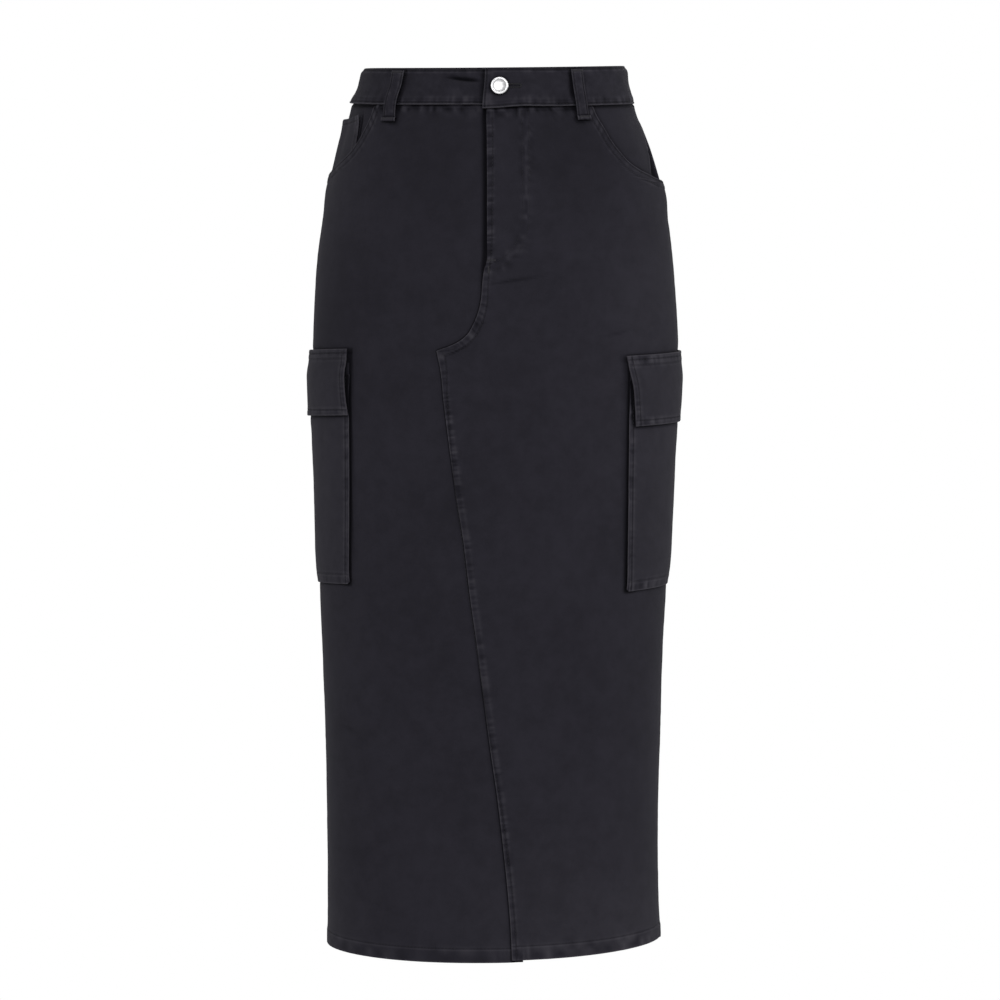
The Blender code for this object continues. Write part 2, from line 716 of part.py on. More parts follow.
def main():
    for old in list(bpy.data.objects):
        bpy.data.objects.remove(old)
    waistband()
    front_left_panel()
    front_right_panel()
    back_left_panel()
    back_right_panel()
    hip_facing("hip_facing_left", 1, SCOOP_LEFT, FACING_LEFT)
    hip_facing("hip_facing_right", -1, SCOOP_RIGHT, FACING_RIGHT)
    coin_pocket()
    for word, hand, pocket in (("left", 1, POCKET_LEFT), ("right", -1, POCKET_RIGHT)):
        cargo_gusset("cargo_gusset_" + word, hand, pocket)
        cargo_pocket("cargo_pocket_" + word, hand, pocket)
        cargo_flap("cargo_flap_" + word, hand, pocket)
    for loop in LOOPS:
        belt_loop(loop)
    button()


main()
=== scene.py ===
"""Looks of the cargo utility skirt: cloth shells with seams, stitching, creases and twill.

Every cut piece is a thin closed shell on the same body surface as its solid. A place on that
surface has two pattern sizes, both in millimetres:
  along  the distance round the body from the centre front, + towards the wearer's left (+X)
  drop   the distance below the middle of the waistband, measured at the side
A third size, out, is how far a point stands off the panels' outer face. The front faces -Y.
A hand is LEFT or RIGHT, the wearer's, and from_side is how far in front of the side seam a
place lies.
"""

from collections import namedtuple
from functools import partial

import bpy
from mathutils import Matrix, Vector
import numpy as np


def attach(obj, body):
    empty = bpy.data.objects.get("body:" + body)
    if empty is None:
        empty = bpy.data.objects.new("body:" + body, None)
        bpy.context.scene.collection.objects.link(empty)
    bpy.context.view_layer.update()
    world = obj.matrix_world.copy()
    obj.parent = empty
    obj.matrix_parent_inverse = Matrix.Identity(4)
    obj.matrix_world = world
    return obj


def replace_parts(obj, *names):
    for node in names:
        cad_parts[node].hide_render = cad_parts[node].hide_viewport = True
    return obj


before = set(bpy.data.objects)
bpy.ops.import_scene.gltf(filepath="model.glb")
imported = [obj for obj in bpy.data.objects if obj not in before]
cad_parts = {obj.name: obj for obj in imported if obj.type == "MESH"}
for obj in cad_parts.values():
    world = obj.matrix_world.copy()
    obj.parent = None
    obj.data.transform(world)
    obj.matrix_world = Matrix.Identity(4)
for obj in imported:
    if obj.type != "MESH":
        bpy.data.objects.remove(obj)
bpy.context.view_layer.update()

MM = 0.001
LEFT, RIGHT = 1, -1


def table(columns, *rows):
    """A table whose named columns are arrays."""
    return namedtuple("Table", columns)(*np.array(rows, float).T)


# ---------------------------------------------------------------- sizes shared with the solids

LAYER_GAP = 0.4
PANEL_CLOTH = 1.4
FACING_CLOTH = 1.1
POCKET_CLOTH = 1.1
GUSSET_CLOTH = 1.0
FLAP_CLOTH = 2.0
BAND_CLOTH = 2.4
LOOP_CLOTH = 1.4

# The body surface, a ring at each drop. Widths and depths run from the ring's middle; rise is how
# much higher the back is than the sides, lean how much lower the wearer's right side hangs, and
# sway how far the ring is moved towards the wearer's left. DIP is how much lower the front is.
SECTIONS = table(
    "drop half_width front back sway rise lean",
    (-19, 132.4, 95.2, 96.0, 0.2, 10, 0.0), (0, 134.4, 98.4, 100.5, -0.6, 10, 0.0),
    (8, 137.4, 99.8, 102.5, -1.4, 10, 0.0), (17, 140.6, 101.4, 105.0, -1.9, 10, 0.0),
    (29, 143.6, 103.6, 108.5, -1.8, 10, 0.0), (44, 149.4, 106.4, 113.0, -1.0, 10, 0.0),
    (64, 156.2, 109, 119, -0.3, 10, 0.0), (84, 161.8, 111, 123, 0.2, 9, 0.0),
    (104, 167.0, 112, 126, 0.5, 9, 0.0), (134, 173.2, 113, 130, 0.5, 8, 0.0),
    (174, 178.0, 114, 133, 0.5, 8, 0.0), (214, 180.8, 114, 133, 0.8, 7, 0.2),
    (254, 182.6, 114, 132, 1.1, 7, 0.3), (294, 181.8, 114, 129, 0.8, 6, 0.5),
    (334, 179.8, 114, 127, 0.3, 6, 0.7), (404, 176.6, 114, 122, -0.2, 5, 1.0),
    (504, 172.8, 113, 117, -1.3, 4, 1.4), (564, 169.8, 112, 115, -1.9, 4, 1.7),
    (644, 167.0, 111, 113, -1.7, 3, 2.0), (724, 165.2, 110, 111, -1.7, 3, 2.3),
    (804, 165.4, 110, 111, -1.2, 3, 2.5), (860, 166.6, 110, 112, -0.4, 3, 2.5),
)
DIP = 12.0
SQUARENESS = 2.15
ROW_STEP = 2.0
ROUND_STEPS = 1200

BAND_TOP = -19.0
BAND_OUT = 0.8
BAND_SEAM_RIGHT = 16.5
BAND_SEAM_LEFT = 19.0
BAND_END_SAG = 2.2
BAND_END_SAG_LENGTH = 40.0
BAND_TUCK = 5.0  # how far the panels run up behind the waistband's lower edge
LAP_END = -1.0
UNDERLAP_END = 34.0
LAP_RAMP = 30.0

# The left front's lapping edge: down the fly and round its curve, then slanting to the hem
FLY_EDGE = table(
    "drop along",
    (10, 2.9), (60, 2.1), (110, 1.7), (150, 1.5), (163, 0.9), (176, -0.9), (192, -2.9),
    (208, -4.4), (222, -8.0), (232, -12.4), (242, -18.8), (249, -28.0), (253.5, -38.0), (257, -48.6),
)
SLANT_EDGE = table(
    "drop along",
    (257, -48.6), (276, -44.4), (305, -41.0), (354, -34.3), (402, -27.2), (441, -20.6), (499, -12.8),
    (548, -5.4), (596, 0.8), (645, 7.0), (694, 14.0), (742, 19.5), (790, 24.0), (815, 25.7), (860, 27.0),
)
FLY_LIFT = 1.4
FLY_LIFT_WIDTH = 40.0
FLY_LIFT_ENDS = (130.0, 215.0)

FRONT_HEM = {LEFT: 850.5, RIGHT: 852.5}
HEM_BACK = 852.0

# The hip pockets' scooped edges
SCOOP = {
    LEFT: table(
        "drop from_side",
        (15, 84.5), (42, 81.0), (55, 78.5), (66, 73.0), (76, 65.0), (84, 52.0), (90, 34.0), (95, 14.0),
        (98, 0.0),
    ),
    RIGHT: table(
        "drop from_side",
        (12, 75.5), (41, 72.0), (55, 67.0), (65, 58.5), (73, 46.0), (80, 29.0), (86, 12.0), (90, 0.0),
    ),
}
SCOOP_LIFT = 2.8
SCOOP_LIFT_WIDTH = 34.0
SCOOP_LIFT_FADE = 32.0

FACING_UNDER = 12.0
FACING_BELOW = 10.0
FACING_SHORTEST = 26.0
FACING_RISE_WIDTH = 30.0
FACING_SUNK = {LEFT: 2.0, RIGHT: 3.5}

# The coin pocket, whose mouth slopes from COIN_TOP's first drop at its back to the other at its front
COIN_BACK = 2.0
COIN_FRONT = table("drop from_side", (27, 53.5), (40, 58.8), (55, 63.5), (95, 66.0))
COIN_MOUTH_END = COIN_FRONT.from_side[0]
COIN_TOP = (34.0, 27.0)
COIN_BOTTOM = 95.0

Pocket = namedtuple(
    "Pocket", "flap_top flap_bottom mouth bottom front_rise shift_top shift_bottom flap_out"
)
POCKET = {
    LEFT: Pocket(265.5, 335.5, 290.0, 498.0, 0.0, -6.5, 3.6, 3.4),
    RIGHT: Pocket(262.5, 328.0, 288.0, 494.0, 5.5, -8.8, 0.2, 4.0),
}
POCKET_HALF = 89.0
POCKET_TAPER = 1.5  # how far the pocket's foot comes in to the panels, and over what height
POCKET_TAPER_HEIGHT = 15.0
POCKET_MOUTH_DIP = 0.8
POCKET_MOUTH_HEIGHT = 22.0
CORNER_CUT = 2.5
GUSSET_OUT = LAYER_GAP + GUSSET_CLOTH
POCKET_OUT = GUSSET_OUT + LAYER_GAP + POCKET_CLOTH
GUSSET_WIDTH = 10.0
GUSSET_START = 14.0
GUSSET_BACK = 1.6  # how far inside the pocket's edge the gusset lies
GUSSET_TAPER_HEIGHT = 14.0
FLAP_HALF_TOP = 94.0
# The flaps' outlines, from the top down: their half width in front of and behind the pocket's middle
FLAP = {
    LEFT: table(
        "share front back",
        (0.0, 92.0, 94.0), (0.25, 89.8, 92.8), (0.5, 86.6, 90.5), (0.75, 84.6, 88.5), (1.0, 82.6, 87.0),
    ),
    RIGHT: table(
        "share front back",
        (0.0, 84.8, 94.0), (0.2, 86.3, 93.0), (0.4, 86.2, 91.2), (0.6, 87.0, 89.6), (0.8, 88.2, 88.2),
        (1.0, 90.2, 87.0),
    ),
}
FLAP_RAMP = 28.0
FLAP_CURL = 1.6
FLAP_CURL_WIDTH = 10.0
FLAP_FOLD_SHARE = 0.8  # how much of the pocket's folds the flap on it shows

# Where a loop's head and foot lie, as shares of the way from the centre front to the centre back
Loop = namedtuple("Loop", "name top foot width")
LOOPS = (
    Loop("belt_loop_front_left", 0.2445, 0.2485, 12.6),
    Loop("belt_loop_front_right", -0.2475, -0.2450, 14.4),
    Loop("belt_loop_back_left", 0.735, 0.745, 13.2),
    Loop("belt_loop_back_right", -0.735, -0.745, 13.2),
    Loop("belt_loop_centre_back", 1.0, 1.0, 13.2),
)
LOOP_STAND = table(
    "drop out",
    (-17.0, 1.2), (-11.0, 2.5), (-2.0, 3.2), (8.0, 3.3), (17.0, 2.8), (24.0, 1.6), (29.0, 0.6), (33.5, 0.4),
)
LOOP_START, LOOP_END = LOOP_STAND.drop[0], LOOP_STAND.drop[-1]

BUTTON_ALONG = 13.9
BUTTON_DROP = -1.0


# ---------------------------------------------------------------- the body surface


def smooth(at, xs, ys):
    """The smooth curve through the points xs, ys, read at the places in at."""
    step = np.diff(xs)
    climb = np.diff(ys) / step
    slope = np.concatenate([climb[:1], climb[:-1], climb[-1:]])
    slope[1:-1] = (climb[:-1] * step[1:] + climb[1:] * step[:-1]) / (step[:-1] + step[1:])
    at = np.clip(at, xs[0], xs[-1])
    k = np.clip(np.searchsorted(xs, at, side="right") - 1, 0, len(step) - 1)
    t = (at - xs[k]) / step[k]
    from_start = (1 + 2 * t) * (1 - t) ** 2 * ys[k] + t * (1 - t) ** 2 * step[k] * slope[k]
    to_end = t * t * (3 - 2 * t) * ys[k + 1] - t * t * (1 - t) * step[k] * slope[k + 1]
    return from_start + to_end


def read(curve, at):
    """A table's second column, read smoothly by its first."""
    return smooth(at, curve[0], curve[1])


def ease(t):
    """0 to 1 with level ends, as t goes from 0 to 1."""
    t = np.clip(t, 0.0, 1.0)
    return t * t * (3 - 2 * t)


def bell(distance, width):
    """1 at no distance, falling smoothly to 0."""
    return np.exp(-((distance / width) ** 2))


def past(distance, width):
    """1 up to a line, falling smoothly to 0 past it."""
    return bell(np.maximum(distance, 0.0), width)


def unit(vectors):
    return vectors / np.linalg.norm(vectors, axis=-1, keepdims=True)


def path(along, drop):
    """Pattern places as an array of (along, drop)."""
    return np.stack(np.broadcast_arrays(along, drop), axis=-1)


def ring(drop, angle):
    """Points of the ring at one drop. Angle 0 is the centre front, a quarter turn the left side."""
    half_width, front, back, sway, rise, lean = (smooth(drop, SECTIONS.drop, ys) for ys in SECTIONS[1:])
    power = 2 / SQUARENESS
    sideways = np.sign(np.sin(angle)) * np.abs(np.sin(angle)) ** power
    ahead = np.sign(np.cos(angle)) * np.abs(np.cos(angle)) ** power
    lowered = (DIP + rise) / 2 * ahead + (DIP - rise) / 2 * ahead**2
    return np.stack(
        [
            half_width * sideways + sway,
            -np.where(ahead > 0, front, back) * ahead,
            -drop - lowered + lean * sideways,
        ],
        axis=1,
    )


def table_surface():
    """The rings' drops, their half girths, the way round to the side seam, and their points."""
    drops = np.arange(SECTIONS.drop[0] - ROW_STEP, SECTIONS.drop[-1] + ROW_STEP, ROW_STEP)
    angle = np.linspace(-np.pi, np.pi, ROUND_STEPS + 1)
    half_girths, sides, points = [], [], []
    for drop in drops:
        circuit = ring(drop, angle)
        along = np.append(0, np.cumsum(np.linalg.norm(np.diff(circuit[:, :2], axis=0), axis=1)))
        along -= along[-1] / 2
        half_girths.append(along[-1])
        sides.append(np.interp(np.pi / 2, angle, along))
        even = np.linspace(along[0], along[-1], ROUND_STEPS + 1)
        points.append(np.stack([np.interp(even, along, circuit[:, k]) for k in range(3)], axis=1))
    return drops, np.array(half_girths), np.array(sides), np.array(points)


RING_DROPS, RING_HALVES, RING_SIDES, RING_POINTS = table_surface()


def half_girth(drop):
    return np.interp(drop, RING_DROPS, RING_HALVES)


def side(drop):
    """How far round from the centre front the side seam is."""
    return np.interp(drop, RING_DROPS, RING_SIDES)


def side_distance(along, drop):
    """How far in front of the side seam a place lies, measured level."""
    return side(drop) - np.abs(along)


def body_point(along, drop):
    """Where a pattern place lies on the body surface, in millimetres."""
    across = (along / half_girth(drop) + 1) % 2 * ROUND_STEPS / 2
    down = np.clip((drop - RING_DROPS[0]) / ROW_STEP, 0, len(RING_DROPS) - 1.001)
    i = down.astype(int)
    j = np.minimum(across.astype(int), ROUND_STEPS - 1)
    below, right = (down - i)[..., None], (across - j)[..., None]
    upper = RING_POINTS[i, j] * (1 - right) + RING_POINTS[i, j + 1] * right
    lower = RING_POINTS[i + 1, j] * (1 - right) + RING_POINTS[i + 1, j + 1] * right
    return upper * (1 - below) + lower * below


def outward(along, drop):
    """The direction straight out of the body surface."""
    across = body_point(along + 3.0, drop) - body_point(along - 3.0, drop)
    down = body_point(along, drop + 3.0) - body_point(along, drop - 3.0)
    return unit(np.cross(down, across))


def place(along, drop, out):
    """Points in metres for pattern places, each standing off the surface by out."""
    along, drop, out = np.broadcast_arrays(along, drop, out)
    return MM * (body_point(along, drop) + outward(along, drop) * out[..., None])


# ---------------------------------------------------------------- seams and edges


def overlap_edge(drop):
    """Along, where the left front's lapping edge lies."""
    return np.where(drop < SLANT_EDGE.drop[0], read(FLY_EDGE, drop), read(SLANT_EDGE, drop))


def band_seam(way):
    """Drop of the waistband's lower edge. Its two depths meet gradually across the back."""
    middle, corner = half_girth(BAND_SEAM_RIGHT), side(BAND_SEAM_RIGHT)
    behind = ease((way - corner) / (2 * (middle - corner)))
    sag = BAND_END_SAG * (1 - ease(way / BAND_END_SAG_LENGTH))
    return BAND_SEAM_LEFT + (BAND_SEAM_RIGHT - BAND_SEAM_LEFT) * behind + sag


def band_foot(hand, along):
    """Drop of the waistband's lower edge over a panel on one side of the body."""
    return band_seam(along if hand == LEFT else along + 2 * half_girth(BAND_SEAM_RIGHT))


def band_face(way):
    """How far out the waistband's outer face lies: its lapping end lies on the end beneath it."""
    lapping = 1 - ease((way - UNDERLAP_END) / LAP_RAMP)
    return BAND_OUT + (BAND_CLOTH + LAYER_GAP) * lapping


def scoop_reach(hand, drop):
    """How far in front of the side seam the scoop's edge lies, 0 below its end."""
    return np.where(drop < SCOOP[hand].drop[-1], np.maximum(read(SCOOP[hand], drop), 0.0), 0.0)


def scoop_edge(hand, drop):
    return hand * (side(drop) - scoop_reach(hand, drop))


def scoop_path(hand):
    start, end = SCOOP[hand].drop[0], SCOOP[hand].drop[-1]
    drops = np.append(np.arange(start - 12, end, 0.8), end)
    return path(scoop_edge(hand, drops), drops)


def scoop_lift(hand, from_side, drop):
    """How far the front panel stands off the facing near the scoop's end."""
    width = 1 - ease(from_side / SCOOP_LIFT_WIDTH)
    end = SCOOP[hand].drop[-1] + FACING_BELOW
    return SCOOP_LIFT * width * (1 - ease((drop - end) / SCOOP_LIFT_FADE))


def fly_lift(along, drop):
    width = 1 - ease((along - overlap_edge(drop)) / FLY_LIFT_WIDTH)
    start, end = FLY_LIFT_ENDS
    return FLY_LIFT * width * (1 - ease((drop - start) / (end - start)))


def facing_out(hand, from_side):
    """How far out the facing's outer face lies, which rises towards the side seam."""
    return -FACING_SUNK[hand] * ease(from_side / FACING_RISE_WIDTH)


def distance_to(line, along, drop, reach=60.0):
    """Distance in millimetres, reach at most, from pattern places to a path."""
    flat = path(along, drop).reshape(-1, 2)
    best = np.full(len(flat), reach)
    start, step = line[:-1], np.diff(line, axis=0)
    lengths = (step**2).sum(axis=1)
    low, high = line.min(axis=0) - reach, line.max(axis=0) + reach
    near = np.nonzero(((flat > low) & (flat < high)).all(axis=1))[0]
    for some in np.array_split(near, max(1, len(near) // 4000)):
        offset = flat[some][:, None] - start[None]
        t = np.clip((offset * step[None]).sum(axis=2) / lengths, 0, 1)
        gap = offset - t[..., None] * step[None]
        best[some] = np.minimum(np.sqrt((gap**2).sum(axis=2).min(axis=1)), reach)
    return best.reshape(np.broadcast(along, drop).shape)


def even_along(edge, start, end, step):
    """Drops that divide an edge, a function of drop, into even lengths."""
    fine = np.arange(start, end, 0.5)
    length = np.append(0, np.cumsum(np.hypot(np.diff(edge(fine)), np.diff(fine))))
    return np.interp(np.arange(0, length[-1], step), length, fine)


def offset_line(line, away):
    """A path moved sideways by away, which for one that runs down is towards the wearer's right."""
    step = unit(np.gradient(line, axis=0))
    return line + away * np.stack([-step[:, 1], step[:, 0]], axis=1)


# ---------------------------------------------------------------- the lie of the cloth


def soft_noise(along, drop, cell, seed, stretch=1.0):
    """Smooth unevenness from -1 to 1 whose bumps are about cell wide, stretched down the cloth."""
    across = along / cell + 400.5
    down = drop / (cell * stretch) + 40.5
    i, j = np.floor(down).astype(int), np.floor(across).astype(int)
    u, v = ease(across - j), ease(down - i)

    def lattice(row, column):
        mixed = np.sin(row * 127.1 + column * 311.7 + seed * 74.7) * 43758.5453
        return 2 * (mixed - np.floor(mixed)) - 1

    upper = lattice(i, j) * (1 - u) + lattice(i, j + 1) * u
    lower = lattice(i + 1, j) * (1 - u) + lattice(i + 1, j + 1) * u
    return upper * (1 - v) + lower * v


# Creases, each a soft ridge (or, where height is below 0, a trough). turn is how far its line is
# turned from level, in degrees, falling towards the wearer's left.
CREASE = "along drop length width turn height"
CREASES = table(
    CREASE,
    (-70, 60, 60, 26, 35, -0.9), (-110, 115, 90, 20, 50, 0.8), (-62, 122, 80, 18, 62, -0.7),
    (60, 70, 70, 22, -40, -0.7), (110, 128, 100, 18, -55, 0.8), (-120, 210, 120, 26, 15, -0.8),
    (-60, 300, 90, 24, 20, 0.6), (80, 230, 120, 28, -20, 0.8), (120, 262, 100, 16, -14, -0.6),
    (20, 330, 130, 26, 12, -0.6), (70, 420, 150, 34, 75, 0.7), (-60, 470, 160, 36, 96, -0.8),
    (-110, 560, 170, 30, 84, 0.9), (-130, 640, 60, 7, 12, -0.5), (-128, 650, 66, 9, 12, 0.4),
    (-40, 640, 150, 34, 82, 0.7), (60, 600, 190, 38, 98, -0.8), (120, 680, 180, 30, 92, 0.9),
    (20, 760, 150, 34, 90, 0.6), (-80, 770, 150, 32, 88, -0.8), (90, 800, 120, 24, 86, -0.7),
    (150, 570, 90, 16, 60, -0.7), (-160, 545, 70, 14, -50, -0.7), (205, 150, 80, 16, -40, -0.6),
    (-210, 150, 80, 16, 40, -0.6), (300, 70, 110, 20, 40, -0.9), (-300, 74, 110, 20, -40, -0.9),
    (360, 130, 120, 26, 30, 1.0), (-350, 150, 120, 24, -35, 0.9), (420, 236, 90, 12, 5, -1.2),
    (418, 250, 96, 14, 6, 0.8), (-420, 240, 90, 12, -8, -1.1), (-415, 255, 90, 14, -8, 0.8),
    (330, 300, 140, 26, -30, 0.9), (-330, 310, 150, 28, 28, -0.9), (390, 400, 160, 30, 80, -1.0),
    (-380, 420, 170, 32, 100, 0.9), (320, 560, 180, 32, 92, 0.9), (-330, 580, 190, 34, 88, -0.9),
    (400, 680, 180, 34, 86, -0.8), (-400, 700, 180, 34, 94, 0.8), (300, 780, 130, 26, 90, -0.8),
    (-290, 790, 130, 28, 92, 0.8), (230, 620, 150, 24, 92, 0.7), (-235, 660, 170, 24, 86, 0.7),
)
# The narrower ones of the front, in whose troughs the cloth is painted darker, a painted shade
SHARP_CREASES = table(
    CREASE,
    (28, 189, 46, 1.5, -9, -1.5), (28, 185, 48, 3.4, -9, 0.6), (28, 193.4, 48, 3.2, -9, 0.5),
    (-28, 257, 26, 1.3, -26, -0.9), (-34, 252.6, 24, 1.6, -24, 0.4), (-2, 230, 9, 1.1, -6, -0.5),
    (130, 243, 26, 1.7, -12, -0.8), (134, 239, 28, 2.8, -12, 0.5), (-145, 631, 24, 2.4, 14, -0.6),
    (8, 168, 12, 1.2, 2, -0.4),
)
GROUND_NOISE = 0.3
FINE_NOISE = 0.1

# Broad places where the fronts are painted paler, a painted light, or where tone is below 0 darker, a painted
# shade, than the rest
FRONT_PAINTED_LIGHT = table(
    "along drop width height tone",
    (-55, 70, 45, 90, -0.16), (100, 50, 60, 75, -0.27), (75, 835, 95, 95, 0.2), (160, 860, 55, 55, 0.3),
    (-175, 850, 60, 50, 0.15), (165, 250, 50, 160, 0.12), (-178, 120, 40, 60, 0.1),
)
POCKET_TONE = 0.17  # the pockets' and flaps' cloth is paler than the panels'
CREASE_BOW = 0.0016  # how far a crease's line bows, for its length
CREASE_SHARPEN = 1.25  # how soon a crease fades out towards its ends


def creases(folds, along, drop):
    """The height of a table of creases at pattern places."""
    total = np.zeros(np.broadcast(along, drop).shape)
    for middle, level, length, width, degrees, height in zip(*folds):
        turn = np.radians(degrees)
        sideways, down = along - middle, drop - level
        along_line = sideways * np.cos(turn) + down * np.sin(turn)
        off_line = down * np.cos(turn) - sideways * np.sin(turn)
        bow = off_line - CREASE_BOW * length * np.cos(along_line / length * 3)
        fade = np.clip(1 - (along_line / length * CREASE_SHARPEN) ** 2, 0, 1) ** 2
        total += height * fade * bell(bow, width)
    return total


def ground(along, drop):
    """How far the cloth's lie departs from the even body surface."""
    calm = ease((drop - 22) / 40) * ease((HEM_BACK + 30 - drop) / 60)
    broad = soft_noise(along, drop, 46.0, 1, 1.5) + 0.5 * soft_noise(along, drop, 21.0, 2, 1.2)
    folds = creases(CREASES, along, drop) + creases(SHARP_CREASES, along, drop)
    return (folds + GROUND_NOISE * broad) * calm + FINE_NOISE * soft_noise(along, drop, 6.5, 3)


# A topstitched seam. The doubled cloth beside the edge is raised by rise out to fold, each stitch
# line lies in a groove, and the cloth puckers across the seam between its stitches. The very edge
# is made paler by tone, and so is the ridge where the turned-in cloth ends, partly wear and partly
# a painted highlight; where tone is below 0 the edge has a painted shade. Each groove is painted
# darker, a painted shade, and each pucker paler on its crest and darker in its dip, a painted
# highlight and shade.
Seam = namedtuple("Seam", "fold rise lines pucker tone")
GROOVE_DEPTH = 0.42
GROOVE_WIDTH = 0.75
GROOVE_TONE = -0.5
EDGE_WIDTH = 1.0
FOLD_INSET = 2.5  # how far before fold the raised cloth begins to sink again, and over what width
FOLD_WIDTH = 4.0
RIDGE_TONE = 0.2
RIDGE_INSET = 1.8  # how far before fold the paler ridge lies, partly wear and partly a painted highlight, and its width
RIDGE_WIDTH = 1.4
BANK_INSET = 1.7  # how far to either side of a stitch line its paler bank lies, a painted highlight, and its width
BANK_WIDTH = 0.8
# how strongly the puckers are painted paler on their crests and darker in their dips, a painted highlight and
# shade
PUCKER_TONE = 2.0
PUCKER_MIX = (0.6, 0.4)  # the puckers' strength along a seam: its middle, and how far it swings
LAP_SEAM = Seam(7.6, 0.4, (), 0.46, 0.85)
SCOOP_SEAM = Seam(9.5, 0.6, (1.9, 7.0), 0.42, 0.95)
HEM_SEAM = Seam(15.0, 0.5, (14.0,), 0.36, 0.6)
PLAIN_SEAM = Seam(7.0, 0.25, (), 0.1, 0.1)
BACK_SEAM = Seam(9.5, 0.45, (2.0, 7.4), 0.22, 0.4)
BAND_SEAM = Seam(9.0, 0.3, (2.1,), 0.42, 0.9)
BAND_TOP_SEAM = Seam(5.0, 0.2, (2.1,), 0.26, -0.7)
BAND_END_SEAM = Seam(9.0, 0.35, (2.0,), 0.4, 0.6)
POCKET_SEAM = Seam(8.0, 0.4, (4.8,), 0.36, 0.8)
POCKET_FOOT = Seam(10.5, 0.4, (9.4,), 0.36, 0.8)
POCKET_MOUTH = Seam(31.0, 0.4, (30.0,), 0.14, 0.5)
FLAP_EDGE = Seam(8.0, 0.3, (5.6,), 0.36, 0.85)
FLAP_HEAD = Seam(11.0, 0.55, (4.2, 9.4), 0.4, 0.9)
COIN_SEAM = Seam(7.0, 0.35, (5.2,), 0.3, 0.8)
LOOP_SEAM = Seam(4.0, 0.15, (1.7,), 0.1, 0.45)


class Lie:
    """How a piece's cloth lies: how far out it is, and its tone, from a painted shade, -1, to paler, 1,
    partly wear and partly a painted highlight.
    """

    def __init__(self, out, tone=0.0):
        self.out, self.tone = out, tone + 0.0 * out

    def add(self, out=0.0, tone=0.0):
        self.out = self.out + out
        self.tone = self.tone + tone

    def hollow(self, share, depth, tone=-0.9):
        """Sinks the cloth where share is 1, and darkens it there by tone as a painted shade."""
        self.add(-depth * share, tone * share)

    def groove(self, from_row, share=1.0):
        """Adds the groove of a row of stitches, darkened as a painted shade."""
        self.hollow(share * bell(from_row, GROOVE_WIDTH), GROOVE_DEPTH, GROOVE_TONE)

    def sew(self, seam, from_edge, run, share=1.0):
        """Adds a seam at from_edge whose length is measured by run."""
        share = share * (from_edge > -0.01)
        raised = seam.rise * (1 - ease((from_edge - seam.fold + FOLD_INSET) / FOLD_WIDTH))
        fine = soft_noise(run, from_edge, 2.1, 7, 4.0) + 0.45 * soft_noise(run, from_edge, 5.0, 8, 2.0)
        strength = PUCKER_MIX[0] + PUCKER_MIX[1] * soft_noise(run, 0.0, 31.0, 9)
        pucker = seam.pucker * fine * strength * np.exp(-((from_edge / seam.fold) ** 4))
        ridge = RIDGE_TONE * bell(from_edge - seam.fold + RIDGE_INSET, RIDGE_WIDTH)
        # The edge and ridge are painted paler, partly wear and partly a painted highlight, and the puckers
        # get a painted highlight and shade.
        edge = seam.tone * bell(from_edge, EDGE_WIDTH) + ridge
        self.add(share * (raised + pucker), share * (edge + PUCKER_TONE * pucker))
        for line in seam.lines:
            self.groove(from_edge - line, share)
            from_bank = np.abs(from_edge - line) - BANK_INSET
            self.add(tone=share * RIDGE_TONE * bell(from_bank, BANK_WIDTH))


# ---------------------------------------------------------------- materials


def feed(node, values):
    """Sets a node's sockets, each to a number, a colour or another node's output."""
    for socket, value in values.items():
        if isinstance(value, bpy.types.NodeSocket):
            node.id_data.links.new(value, node.inputs[socket])
        else:
            node.inputs[socket].default_value = value


def add_node(tree, kind, values, **settings):
    made = tree.nodes.new("ShaderNode" + kind)
    for name, value in settings.items():
        setattr(made, name, value)
    feed(made, values)
    return made


def new_material(name):
    made = bpy.data.materials.new(name)
    made.use_nodes = True
    return made, made.node_tree, made.node_tree.nodes["Principled BSDF"]


def maths(tree, operation, first, second):
    return add_node(tree, "Math", {0: first, 1: second}, operation=operation).outputs[0]


def scaled(tree, value, factor, base):
    """A value times factor, plus base."""
    return maths(tree, "ADD", maths(tree, "MULTIPLY", value, factor), base)


def noise(tree, scale, detail, roughness):
    """Noise in the object's own space."""
    where = tree.nodes.new("ShaderNodeTexCoord").outputs["Object"]
    sizes = {"Vector": where, "Scale": scale, "Detail": detail, "Roughness": roughness}
    return add_node(tree, "TexNoise", sizes).outputs[0]


def ramp(tree, factor, low, high, low_colour, high_colour):
    made = add_node(tree, "ValToRGB", {0: factor})
    for stop, position, colour in zip(made.color_ramp.elements, (low, high), (low_colour, high_colour)):
        stop.position = position
        stop.color = (*colour, 1.0)
    return made.outputs[0]


def tint(tree, share, colour, other):
    """A colour that turns into the other where share is 1."""
    values = {"Factor": share, "A": colour, "B": (*other, 1.0)}
    return add_node(tree, "Mix", values, data_type="RGBA").outputs["Result"]


def bump(tree, height, strength, distance):
    values = {"Height": height, "Strength": strength, "Distance": distance}
    return add_node(tree, "Bump", values).outputs[0]


def tone_of(tree):
    return add_node(tree, "Attribute", {}, attribute_name="tone").outputs["Fac"]


TWILL_DARK = (0.0119, 0.0111, 0.0158)
TWILL_LIGHT = (0.0208, 0.0195, 0.0271)
# The next colour is for tone above 0, partly wear and partly a painted highlight; the near-black one after it
# is a painted shade, for tone below 0.
TWILL_WORN_AND_HIGHLIGHT = (0.0463, 0.0437, 0.053)
TWILL_PAINTED_SHADE = (0.0013, 0.0011, 0.0028)
TWILL_PITCH = 0.75  # millimetres between the twill's ribs
WASH_DEPTH = 1.1  # how strongly the wash mottles the cloth, in small spots and in broad patches
PATCH_DEPTH = 0.7
THREAD_DARK = (0.0095, 0.0090, 0.0115)
THREAD_LIGHT = (0.020, 0.019, 0.024)
THREAD_SHINY = (0.046, 0.044, 0.050)  # a painted sheen, where threads lie thick together
